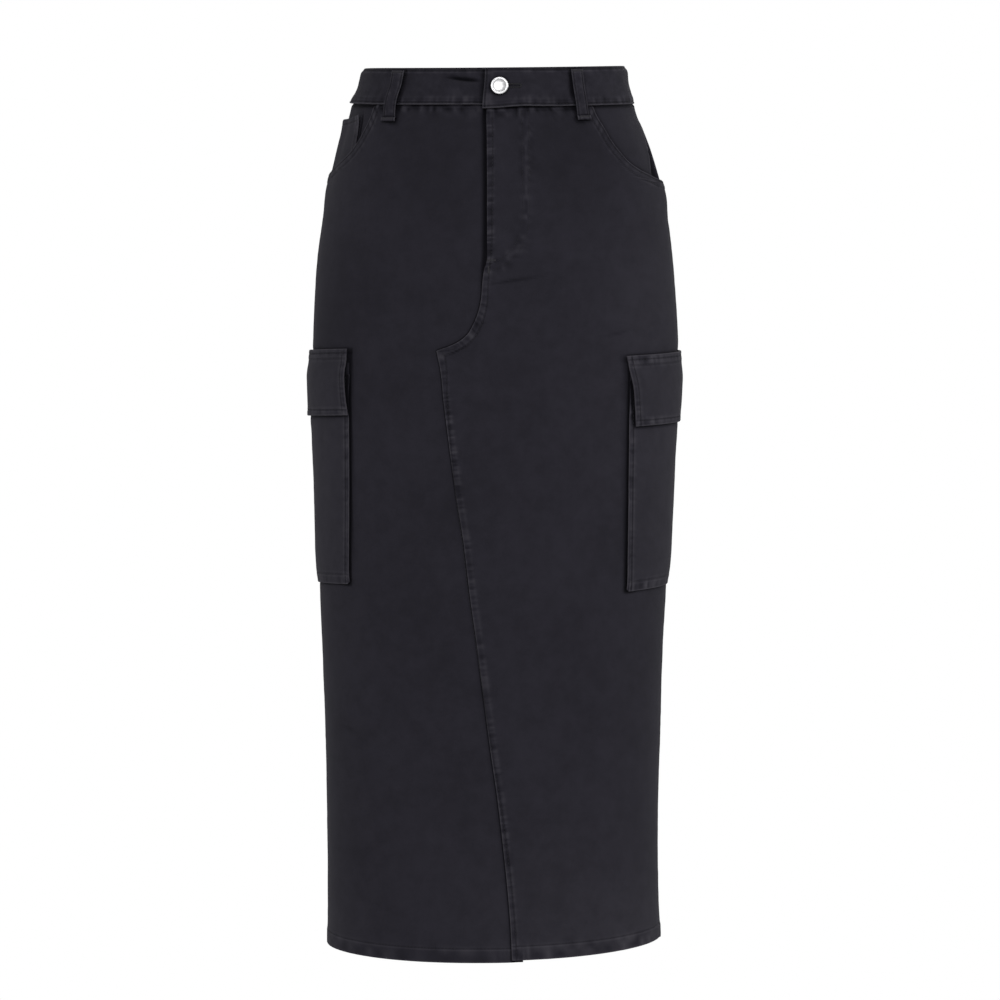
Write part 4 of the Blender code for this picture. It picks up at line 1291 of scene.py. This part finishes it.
def coin_lie(along, drop):
    from_side = side_distance(along, drop)
    mouth, to_front = coin_mouth(from_side), read(COIN_FRONT, drop) - from_side
    uneven = FACING_GROUND * ground(along, drop)
    lie = Lie(facing_out(RIGHT, from_side) + LAYER_GAP + POCKET_CLOTH + uneven)
    lie.add(COIN_MOUTH_LIFT * bell(drop - mouth, 10.0))
    lie.add(COIN_SIDE_LIFT * (1 - ease(from_side / 26.0)) * (1 - ease((drop - mouth) / 50.0)))
    # The cloth just behind the pocket's front edge is painted paler, a painted highlight
    lie.add(0.9 * bell(to_front, 7.0), 0.7 * bell(to_front - 5.0, 5.0) * (1 - ease((drop - mouth) / 24.0)))
    lie.sew(COIN_SEAM, to_front, drop)
    lie.sew(COIN_SEAM, drop - mouth, along)
    return lie


def coin_pocket(name):
    wide, tall = COIN_MOUTH_END - COIN_BACK, COIN_BOTTOM - COIN_TOP[1]
    columns = Columns(PLAIN_EDGE, SMALL_EDGE, wide, step=1.8)
    rows = Columns(SMALL_EDGE, PLAIN_EDGE, tall, step=1.8)
    mouth = coin_mouth(columns.between(COIN_BACK, COIN_MOUTH_END))
    drop = mouth + (COIN_BOTTOM - mouth) * rows.between(0.0, tall)[:, None] / tall
    along = columns.between(COIN_BACK, read(COIN_FRONT, drop)) - side(drop)
    return shell(name, along, drop, coin_lie(along, drop), POCKET_CLOTH, rim_of(columns, rows))


# ---------------------------------------------------------------- waistband

WAIST_HALF = half_girth(0.0)
STRIP_END = 2 * WAIST_HALF + UNDERLAP_END
BAND_CROWN = 0.55
BAND_ROUND = 1.25
BAND_ROLL = 3.4  # how far the band's upper edge rolls in at the wearer's sides
BAND_FLARE = 1.4  # how far the seam beneath pushes the band's foot out at the wearer's right side
BUTTONHOLE = (15.0, 33.0)  # its ends, along the waistband
BAND_CREASES = table(
    CREASE,
    (-23, -8.8, 32, 2.1, 7, -3.1), (-32, -13.0, 28, 2.4, 6, 0.9), (-28, -3.2, 30, 3.4, 6, 1.0),
    (-74, 4.5, 16, 2.6, 0, -0.5), (-86, -9, 14, 3.0, -12, 0.5), (-112, 3, 22, 4.0, 4, -0.6),
    (21, 5, 12, 2.6, 20, 0.5), (8, 15, 8, 3.4, 0, 0.55), (10, -14, 8, 2.4, 0, 0.4),
    (34, -3, 12, 2.2, -8, -0.6), (38, 2.5, 14, 2.6, -6, 0.4), (68, -8, 16, 2.8, 16, -0.5),
    (84, -5, 12, 2.6, 60, 0.5), (118, 4, 22, 4.0, -8, 0.6), (150, -6, 24, 4.0, 10, 0.5),
    (215, 3, 26, 4.4, 8, -0.6), (-170, -4, 24, 4.0, -10, 0.5), (-230, 2, 28, 4.4, 8, -0.6),
    (265, -5, 30, 4.6, -5, 0.6), (320, 6, 26, 4.0, 6, -0.6), (-290, -4, 30, 4.6, 5, 0.6),
    (-340, 6, 26, 4.0, -6, -0.5),
)


def on_waist(way, drop):
    """Along, for a way round the waistband that is measured at drop 0."""
    return way * half_girth(drop) / WAIST_HALF


def band_lie(way, drop):
    """The waistband's outer face, way round from the centre front by the left side, with painted shade and
    highlight.
    """
    seam = band_seam(way)
    hidden = ease((way - 2 * WAIST_HALF - LAP_END + 3.0) / 3.0)
    along = np.where(way > WAIST_HALF, way - 2 * WAIST_HALF, way)
    down = (drop - BAND_TOP) / (seam - BAND_TOP)
    folds = creases(BAND_CREASES, along, drop)
    lie = Lie(BAND_CROWN * np.sin(np.pi * np.clip(down, 0, 1)) + 0.3 * soft_noise(way, drop, 17.0, 4))
    # The creases' troughs are painted darker, a painted shade
    lie.add(0.18 * soft_noise(way, drop, 5.5, 5) + folds, 0.55 * np.minimum(folds + 0.4, 0.0))
    lie.add(tone=0.16 * soft_noise(way, drop, 3.6, 6) + 0.1 * soft_noise(way, drop, 12.0, 14))
    lie.add(-BAND_ROLL * bell(drop - BAND_TOP, 4.0) * bell(np.abs(along) - side(0.0), 50.0))
    lie.sew(BAND_SEAM, seam - drop, way)
    lie.sew(BAND_TOP_SEAM, drop - BAND_TOP, way)
    lie.sew(BAND_END_SEAM, way - LAP_END, drop, way < 20)
    # The lower edge is painted paler, partly wear and partly a painted highlight
    lie.add(0.5 * bell(seam - drop, 1.6), 0.3 * bell(seam - drop, 1.2))
    lie.add(BAND_FLARE * bell(seam - drop, 7.0) * bell(along + side(0.0), 40.0))
    # Painted shade beside the belt loops, beneath the lapping end, round the button and in the buttonhole's
    # slit
    lie.hollow(beside_loops(on_waist(along, drop), drop), LOOP_PRESS)
    near_end, lapping = along - LAP_END, way < 60
    lie.hollow(past(-near_end, 3.2) * (way > WAIST_HALF) * (near_end > -12), 0.9, -1.0)
    shank = np.hypot(along - BUTTON_ALONG, drop - BUTTON_DROP) - BUTTON_RADIUS
    lie.hollow(past(shank, 1.4) * lapping, 0.25)
    slit = (along > BUTTONHOLE[0]) * (along < BUTTONHOLE[1]) * lapping
    lie.hollow(bell(drop - BUTTON_DROP, 1.0) * slit, 0.35, -0.5)
    # A painted highlight at the lapping end's lower corner, and the whole band a little darker
    lie.add(tone=0.6 * bell(np.hypot((along - LAP_END - 3.0) / 4.0, (drop - 14.0) / 6.0), 1.0) - 0.08)
    lie.out = band_face(way) + lie.out * (1 - hidden) - 0.3 * hidden
    return lie


def band_lie_front(along, drop):
    """The same, by the pattern place on the body."""
    along = np.where(along < LAP_END, along + 2 * half_girth(drop), along)
    return band_lie(along * (WAIST_HALF / half_girth(drop)), drop)


def waistband(name):
    columns = Columns(SMALL_EDGE, PLAIN_EDGE, STRIP_END - LAP_END, step=2.6)
    rows = Columns(SMALL_EDGE, SMALL_EDGE, BAND_SEAM_LEFT - BAND_TOP, step=1.2)
    way = columns.between(LAP_END, STRIP_END)[None, :]
    drop = rows.between(BAND_TOP, band_seam(way).T).T
    lie = band_lie(way, drop)
    return shell(name, on_waist(way, drop), drop, lie, BAND_CLOTH, rim_of(columns, rows), BAND_ROUND)


# ---------------------------------------------------------------- belt loops

LOOP_FOOT = 4.6  # how long the folded end at a loop's foot is, how far it rises and widens the loop
LOOP_FOOT_RISE = 1.6
LOOP_FOOT_WIDER = 0.14
LOOP_WAIST = 0.04  # how much a loop narrows at its middle
LOOP_HEAD = 3.4
LOOP_HEAD_RISE = 0.6


def loop_lie(along, drop):
    """The outer face of whichever loop lies at a place."""
    lie, past_end = Lie(read(LOOP_STAND, drop) + LOOP_CLOTH), drop - LOOP_END
    foot = ease((past_end + LOOP_FOOT) / 1.1)
    lie.add(LOOP_FOOT_RISE * foot * (1 - 0.5 * ease((past_end + 1.4) / 1.4)))
    # The foot's fold is painted paler, partly wear and partly a painted highlight
    lie.add(tone=0.8 * foot * bell(past_end + 2.2, 1.4))
    head = 1 - ease((drop - LOOP_START - LOOP_HEAD) / 1.2)
    # The head is raised and painted paler, partly wear and partly a painted highlight
    lie.add(LOOP_HEAD_RISE * head, 0.3 * head)
    # Painted shade in the crease above the foot
    lie.hollow(bell(past_end + LOOP_FOOT, 0.8), 0.25)
    lie.add(0.14 * soft_noise(along, drop, 4.5, 11), 0.3 * soft_noise(along, drop, 2.8, 12))
    return lie


def belt_loop(loop):
    columns = Columns(LOOP_EDGE, LOOP_EDGE, loop.width, step=1.0)
    rows = Columns(SMALL_EDGE, SMALL_EDGE, LOOP_END - LOOP_START, step=1.2)
    drop = rows.between(LOOP_START, LOOP_END)[:, None]
    across = columns.between(-loop.width / 2, loop.width / 2)
    foot = ease((drop - LOOP_END + LOOP_FOOT + 1) / 2.0)
    wide = 1 + LOOP_FOOT_WIDER * foot - LOOP_WAIST * np.sin(np.pi * (drop - LOOP_START) / 50.0)
    along = loop_middle(loop, drop) + across * wide
    lie = loop_lie(along, drop)
    lie.sew(LOOP_SEAM, np.broadcast_to(columns.rim, along.shape), drop + 0 * along)
    lie.add(0.25 * bell(across, 3.2))
    return shell(loop.name + "_cloth", along, drop, lie, LOOP_CLOTH, rim_of(columns, rows))


# ---------------------------------------------------------------- cargo pockets

# Creases in a pocket's cloth, in its own sizes: along is across the pocket, drop down from its mouth
POCKET_CREASES = table(
    CREASE,
    (-78, 14, 40, 2.2, 90, -0.7), (-73, 14, 40, 2.6, 90, 0.5), (-62, 30, 26, 4.0, 60, 0.6),
    (-50, 60, 30, 5.0, 75, -0.6), (-20, 40, 34, 7.0, 20, 0.7), (10, 90, 40, 8.0, 82, -0.7),
    (-64, 120, 36, 6.0, 96, 0.6), (40, 60, 36, 7.0, -50, 0.7), (50, 130, 34, 7.0, 80, -0.7),
    (-30, 140, 40, 9.0, 70, 0.6),
)
POCKET_FILL = 0.9  # how far the pocket's middle stands out, and how far in from its edges
POCKET_FILL_WIDTH = 34
POCKET_STEP = 3.0


def pocket_net(hand, across, level):
    """on_pocket() for a net, whose columns run towards the wearer's left."""
    return [at[:, ::hand] for at in on_pocket(hand, across, level)]


def pocket_folds(hand, along, drop):
    """How far a pocket's cloth is filled out and creased."""
    across, level = from_pocket(hand, along, drop)
    inward = POCKET_HALF - np.abs(across)
    above_foot = ease((POCKET[hand].bottom - level) / POCKET_FILL_WIDTH)
    folds = creases(POCKET_CREASES, across, level - POCKET[hand].mouth) * ease(inward / 12)
    return POCKET_FILL * (ease(inward / POCKET_FILL_WIDTH) * above_foot) + folds * above_foot


def flap_half(hand, across, share):
    """The flap's half width at a share of its height, in front of the pocket's middle or behind."""
    outline = FLAP[hand]
    front, back = (smooth(share, outline.share, part) for part in (outline.front, outline.back))
    return np.where(across < 0, front, back)


def pocket_lie(hand, along, drop):
    pocket = POCKET[hand]
    across, level = from_pocket(hand, along, drop)
    lie = Lie(POCKET_OUT + ground(along, drop) + pocket_folds(hand, along, drop), POCKET_TONE)
    inward, above = POCKET_HALF - np.abs(across), pocket.bottom - level
    lie.add(-POCKET_TAPER * (1 - ease(above / POCKET_TAPER_HEIGHT)))
    lie.add(-POCKET_MOUTH_DIP * (1 - ease((level - pocket.mouth) / POCKET_MOUTH_HEIGHT)))
    lie.sew(POCKET_SEAM, inward, drop)
    lie.sew(POCKET_FOOT, above, along)
    lie.sew(POCKET_MOUTH, level - pocket.mouth, along)
    below_flap = level - pocket.flap_bottom
    down = (level - pocket.flap_top) / (pocket.flap_bottom - pocket.flap_top)
    past_flap = np.abs(across) - flap_half(hand, across, down)
    # Painted shadow under the flap and beside its edges
    lie.hollow(past(np.maximum(below_flap, 0.8 * past_flap), 2.0), 0.3, -1.0)
    wedge = past(past_flap, 3.2) * (past_flap > -2.0)
    lie.hollow(wedge * past(below_flap + 2.0, 2.0), 0.0, -1.2)
    return lie


def cargo_pocket(name, hand):
    """The pocket's face, whose lower corners are cut back."""
    pocket = POCKET[hand]
    columns = Columns(SMALL_EDGE, SMALL_EDGE, 2 * POCKET_HALF, POCKET_STEP)
    rows = Columns(PLAIN_EDGE, STITCHED_EDGE, pocket.bottom - pocket.mouth, POCKET_STEP)
    across = columns.between(-POCKET_HALF, POCKET_HALF)
    cut = 1 - np.clip((POCKET_HALF - np.abs(across)) / CORNER_CUT, 0, 1)
    level = rows.between(pocket.mouth, (pocket.bottom - CORNER_CUT * cut)[:, None]).T
    along, drop = pocket_net(hand, across, level)
    return shell(name, along, drop, pocket_lie(hand, along, drop), POCKET_CLOTH, rim_of(columns, rows))


def cargo_gusset(name, hand):
    """The folded strip round the pocket's two sides and its lower edge, set back beneath it and painted
    darker, a painted shade.
    """
    half, foot = POCKET_HALF - GUSSET_BACK, POCKET[hand].bottom - GUSSET_BACK
    top = POCKET[hand].flap_top + GUSSET_START
    columns = Columns(GUSSET_EDGE, GUSSET_EDGE, 2 * half, step=6.0)
    rows = Columns(PLAIN_EDGE, GUSSET_EDGE, foot - top, step=4.0)
    across, level = columns.between(-half, half)[None, :], rows.between(top, foot)[:, None]
    along, drop = pocket_net(hand, across, level)
    to_side, to_foot = half - np.abs(across), foot - level
    outer = np.minimum(to_side, to_foot)
    rim = np.clip(np.minimum(GUSSET_WIDTH - outer, np.minimum(outer, level - top)), 0, None)
    in_side = (to_side[:, 1:] + to_side[:, :-1]) / 2 < GUSSET_WIDTH
    in_foot = (to_foot[1:] + to_foot[:-1]) / 2 < GUSSET_WIDTH
    taper = POCKET_TAPER * (1 - ease(to_foot / GUSSET_TAPER_HEIGHT))
    lie = Lie(GUSSET_OUT + ground(along, drop) - taper, -0.3)
    return shell(name, along, drop, lie, GUSSET_CLOTH, rim, kept=in_side | in_foot)


def flap_lie(hand, along, drop):
    pocket = POCKET[hand]
    tall = pocket.flap_bottom - pocket.flap_top
    across, level = from_pocket(hand, along, drop)
    depth = level - pocket.flap_top
    inward = flap_half(hand, across, depth / tall) - np.abs(across)
    ramp_out = (pocket.flap_out - LAYER_GAP) * ease(depth / FLAP_RAMP)
    lie = Lie(LAYER_GAP + ramp_out + FLAP_CLOTH, POCKET_TONE)
    lie.add(ground(along, drop) + FLAP_FOLD_SHARE * pocket_folds(hand, along, drop))
    lie.sew(FLAP_EDGE, inward, drop, ease((depth - 5) / 4))
    lie.sew(FLAP_EDGE, tall - depth, along)
    lie.sew(FLAP_HEAD, depth, along)
    lie.add(FLAP_CURL * bell(inward, FLAP_CURL_WIDTH) * np.sin(np.pi * np.clip(depth / tall, 0, 1)))
    return lie


def cargo_flap(name, hand):
    """The flap, sewn to the panels at its top and lying on the pocket at its lower edge."""
    top, tall = POCKET[hand].flap_top, POCKET[hand].flap_bottom - POCKET[hand].flap_top
    columns = Columns(SMALL_EDGE, SMALL_EDGE, 2 * FLAP_HALF_TOP, POCKET_STEP)
    rows = Columns(STITCHED_EDGE, SMALL_EDGE, tall, step=2.4)
    depth = rows.between(0.0, tall)[:, None]
    across = columns.between(-flap_half(hand, -1.0, depth / tall), flap_half(hand, 1.0, depth / tall))
    along, drop = pocket_net(hand, across, top + depth)
    return shell(name, along, drop, flap_lie(hand, along, drop), FLAP_CLOTH, rim_of(columns, rows))


# ---------------------------------------------------------------- button

BUTTON_PROFILE = table(
    "radius height",
    (7.7, 0.0), (8.3, 0.15), (8.65, 0.5), (8.75, 0.95), (8.6, 1.4), (8.25, 1.72), (7.8, 1.84),
    (7.4, 1.76), (7.1, 1.62), (6.8, 1.64), (6.2, 1.86), (5.2, 2.12), (4.0, 2.34), (2.6, 2.5),
    (1.2, 2.58), (0.4, 2.6),
)
BUTTON_RADIUS = BUTTON_PROFILE.radius.max()
BUTTON_SIDES = 96


def button(name):
    angle = np.arange(BUTTON_SIDES) / BUTTON_SIDES * 2 * np.pi
    radius, height = (column[:, None] for column in BUTTON_PROFILE)
    rings = np.broadcast_arrays(radius * np.cos(angle), radius * np.sin(angle), height)
    ends = [[0, 0, height[0, 0]], [0, 0, height[-1, 0]]]
    points = np.concatenate([np.stack(rings, axis=2).reshape(-1, 3), ends])
    index = np.arange(radius.size * BUTTON_SIDES).reshape(-1, BUTTON_SIDES)
    following = np.roll(index, -1, axis=1)
    first, last = (np.full(BUTTON_SIDES, index.size + end) for end in (0, 1))
    under = np.stack([first, following[0], index[0]], axis=1)
    over = np.stack([last, index[-1], following[-1]], axis=1)
    facing = Vector(outward(np.array(BUTTON_ALONG), np.array(BUTTON_DROP)))
    turn = np.array(facing.to_track_quat("Z", "Y").to_matrix())
    seat = place(BUTTON_ALONG, BUTTON_DROP, BAND_OUT + BAND_CLOTH + 2 * LAYER_GAP)
    points = points @ turn.T * MM + seat
    return add_mesh(name, points, tube_quads(index), np.concatenate([under, over]), NICKEL, "button_metal")


# ---------------------------------------------------------------- the pieces, in place of the solids

NAMES = {LEFT: "left", RIGHT: "right"}


def declare(piece, node):
    """The piece stands for a solid, which is hidden."""
    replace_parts(piece, node)


band = waistband("waistband_cloth")
declare(band, "waistband")
fronts = {hand: front_panel(f"{name}_front", hand) for hand, name in NAMES.items()}
backs = {hand: back_panel(f"{name}_back", hand) for hand, name in NAMES.items()}
for part, panels in (("front", fronts), ("back", backs)):
    for hand, name in NAMES.items():
        declare(panels[hand], f"{part}_{name}_panel")
facings = {hand: hip_facing(f"{name}_hip_facing", hand) for hand, name in NAMES.items()}
for hand, name in NAMES.items():
    declare(facings[hand], f"hip_facing_{name}")
declare(coin_pocket("coin_pocket_cloth"), "coin_pocket")
for loop in LOOPS:
    declare(belt_loop(loop), loop.name)
for hand, name in NAMES.items():
    gusset = cargo_gusset(f"{name}_pocket_gusset", hand)
    declare(gusset, f"cargo_gusset_{name}")
    face = cargo_pocket(f"{name}_pocket_face", hand)
    declare(face, f"cargo_pocket_{name}")
    flap = cargo_flap(f"{name}_pocket_flap", hand)
    declare(flap, f"cargo_flap_{name}")
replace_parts(button("tack_button"), "button")


# ---------------------------------------------------------------- the stitching on them


def clipped(line, start, end):
    """The stretch of a downward path between two drops."""
    return line[(line[:, 1] > start) & (line[:, 1] < end)]


LAP_ROW_ENDS = (23.0, 848.0)  # the drops between which the rows of the lap and the fly run
FLY_ROW_ENDS = (22.5, 200.0)
SCOOP_ROW_TOP = 21.0
FLY_TACKS = table(
    "along drop length width degrees",
    (6.2, 169.4, 8.0, 2.0, -4.0), (3.5, 178.4, 7.0, 1.8, 86.0),
)
SATIN = (0.5, 2.7)  # how far from the buttonhole's slit its satin stitches begin and end
SATIN_PITCH = 0.5
SATIN_RADIUS = 0.27
SATIN_RISE = 0.35
SATIN_END_COUNT = 14


def stitch_panels():
    edge_row = offset_line(LAP_PATH, -read(LAP_ROW, LAP_DROPS)[:, None])
    stitch_line("lap", clipped(edge_row, *LAP_ROW_ENDS), front_left_lie)
    for away in FLY_STITCH_ROWS:
        stitch_line("fly", clipped(offset_line(FLY_STITCH_LINE, away), *FLY_ROW_ENDS), front_left_lie)
    for tack in zip(*FLY_TACKS):
        bartack("fly", *tack, front_left_lie)
    for hand, name in NAMES.items():
        for away in SCOOP_SEAM.lines:
            row = offset_line(scoop_path(hand), hand * away)
            row = row[np.abs(row[:, 0]) < side(row[:, 1]) - 1.0]
            stitch_line(f"{name}_scoop", clipped(row, SCOOP_ROW_TOP, FAR), FRONT_LIE[hand])
    lap_foot, side_foot, middle = overlap_edge(FRONT_HEM[LEFT]), side(HEM_BACK), half_girth(HEM_BACK)
    hems = (
        (lap_foot + 2.0, side_foot, FRONT_HEM[LEFT], front_left_lie),
        (-side_foot, lap_foot - 1.5, FRONT_HEM[RIGHT], front_right_lie),
        (side_foot, middle, HEM_BACK, back_lie),
        (-middle, -side_foot, HEM_BACK, back_lie),
    )
    for start, end, hem, lie in hems:
        along = np.linspace(start, end, max(2, int(abs(end - start) / PATH_STEP)))
        stitch_line("hem", path(along, hem - HEM_TURN), lie)
    drops = np.arange(18.0, HEM_BACK - 1.5, PATH_STEP)
    for away in BACK_SEAM.lines:
        stitch_line("back_seam", path(half_girth(drops) - away, drops), back_lie)


def stitch_band():
    way = np.arange(LAP_END + 2.0, 2 * WAIST_HALF - 1.0, PATH_STEP)
    for drop in (band_seam(way) - BAND_SEAM.lines[0], BAND_TOP + BAND_TOP_SEAM.lines[0]):
        stitch_line("waistband", path(on_waist(way, drop), drop), band_lie_front)
    drops = np.arange(BAND_TOP + 2.0, BAND_SEAM_LEFT, 2.0)
    stitch_line("waistband", path(LAP_END + BAND_END_SEAM.lines[0], drops), band_lie_front)


def stitch_loops():
    drops = np.arange(LOOP_START + 1.0, LOOP_END - 1.0, 1.5)
    for loop in LOOPS:
        inset = loop.width / 2 - LOOP_SEAM.lines[0]
        for away in (-inset, inset):
            stitch_line("belt_loops", path(loop_middle(loop, drops) + away, drops), loop_lie, 2.2, 0.5)
        for drop in (LOOP_START + 1.9, LOOP_END - 2.6):
            bartack("belt_loops", loop_middle(loop, drop), drop, loop.width - 2.4, 1.5, 0, loop_lie, 18)


def stitch_pocket(group, hand):
    """The stitching of one pocket's face, and of its flap."""

    def stitch_row(lie, across, level):
        stitch_line(group, path(*on_pocket(hand, across, level)), partial(lie, hand))

    pocket, inset = POCKET[hand], POCKET_HALF - POCKET_SEAM.lines[0]
    down = np.arange(pocket.mouth + 2.0, pocket.bottom - 1.0, PATH_STEP)
    stitch_row(pocket_lie, -inset, down)
    stitch_row(pocket_lie, inset, down)
    across = np.arange(1.0 - POCKET_HALF, POCKET_HALF, PATH_STEP)
    stitch_row(pocket_lie, across, pocket.bottom - POCKET_FOOT.lines[0])
    top, tall = pocket.flap_top, pocket.flap_bottom - pocket.flap_top
    edge_depth = tall - FLAP_EDGE.lines[0]
    depths = np.arange(1.5, edge_depth, 2.0)
    for end in (-1.0, 1.0):
        edge = end * (flap_half(hand, end, depths / tall) - FLAP_EDGE.lines[0])
        stitch_row(flap_lie, edge, top + depths)
    for depth in (*FLAP_HEAD.lines, edge_depth):
        front, back = (end * (flap_half(hand, end, depth / tall) - 3.0) for end in (-1, 1))
        stitch_row(flap_lie, np.arange(front, back, PATH_STEP), top + depth)


def stitch_coin_pocket():
    drops = np.arange(COIN_TOP[1] + 1.5, COIN_BOTTOM - 12.0, 2.0)
    along = read(COIN_FRONT, drops) - COIN_SEAM.lines[0] - side(drops)
    stitch_line("coin_pocket", path(along, drops), coin_lie)
    from_side = np.arange(COIN_BACK + 1.0, COIN_MOUTH_END - 1.0, 2.0)
    drops = coin_mouth(from_side) + COIN_SEAM.lines[0]
    stitch_line("coin_pocket", path(from_side - side(drops), drops), coin_lie)


def buttonhole():
    """Satin stitches side by side round the slit and its far end."""
    along = np.arange(*BUTTONHOLE, SATIN_PITCH)
    for away in (-1, 1):
        rows = (path(along, BUTTON_DROP + away * reach) for reach in SATIN)
        stitches("buttonhole", *rows, band_lie_front, SATIN_RADIUS, SATIN_RISE)
    angle = np.linspace(-np.pi / 2, np.pi / 2, SATIN_END_COUNT)
    middle, fan = np.array([BUTTONHOLE[1], BUTTON_DROP]), path(np.cos(angle), np.sin(angle))
    rows = (middle + reach * fan for reach in SATIN)
    stitches("buttonhole", *rows, band_lie_front, SATIN_RADIUS, SATIN_RISE)


stitch_panels()
stitch_band()
stitch_loops()
stitch_pocket("left_pocket", LEFT)
stitch_pocket("right_pocket", RIGHT)
stitch_coin_pocket()
buttonhole()
finish_threads()


# ---------------------------------------------------------------- studio

VIEW_ANGLE = np.radians(4.5)
VIEW_DISTANCE = 4.0
VIEW_HEIGHT = -0.414
VIEW_ASIDE = 0.006
WORLD_LIGHT = 0.57
FLOOR_HEIGHT = -1.2
FLOOR_HALF = 1.5
MIDDLE = Vector((0.0, 0.0, -0.42))


def studio_floor():
    white, _, shader = new_material("floor_white")
    feed(shader, {"Base Color": (0.9, 0.9, 0.9, 1.0), "Roughness": 0.9})
    mesh = bpy.data.meshes.new("floor")
    corners = ((-1, -1), (1, -1), (1, 1), (-1, 1))
    points = [(x * FLOOR_HALF, y * FLOOR_HALF, FLOOR_HEIGHT) for x, y in corners]
    mesh.from_pydata(points, [], [(0, 1, 2, 3)])
    mesh.materials.append(white)
    floor = new_object("floor", mesh)


def studio_world():
    """White to the camera, and dimmer as a light."""
    world = bpy.data.worlds.new("studio")
    world.use_nodes = True
    tree = world.node_tree
    seen = tree.nodes.new("ShaderNodeLightPath").outputs["Is Camera Ray"]
    strength = scaled(tree, seen, 1.0 - WORLD_LIGHT, WORLD_LIGHT)
    feed(tree.nodes["Background"], {"Color": (1.0, 1.0, 1.0, 1.0), "Strength": strength})
    bpy.context.scene.world = world
    bpy.context.scene.view_settings.view_transform = "Standard"


def area_light(name, at, size, power):
    light = bpy.data.lights.new(name, "AREA")
    light.shape = "SQUARE"
    light.size = size
    light.energy = power
    made = new_object(name, light)
    made.location = at
    made.rotation_euler = (MIDDLE - Vector(at)).to_track_quat("-Z", "Y").to_euler()


def studio_camera():
    camera = bpy.data.cameras.new("camera")
    camera.lens = 144.0
    camera.sensor_width = 36.0
    camera.sensor_fit = "HORIZONTAL"
    made = new_object("camera", camera)
    right = Vector((np.cos(VIEW_ANGLE), np.sin(VIEW_ANGLE), 0.0))
    back = Vector((np.sin(VIEW_ANGLE), -np.cos(VIEW_ANGLE), 0.0))
    made.location = back * VIEW_DISTANCE + right * VIEW_ASIDE + Vector((0.0, 0.0, VIEW_HEIGHT))
    made.rotation_euler = (-back).to_track_quat("-Z", "Y").to_euler()
    bpy.context.scene.camera = made


studio_floor()
studio_world()
area_light("key", (2.6, -0.7, 0.8), 1.0, 22.0)
area_light("fill", (-0.3, -3.2, 1.2), 1.5, 40.0)
area_light("rear", (0.2, 2.8, 0.9), 1.8, 14.0)
studio_camera()
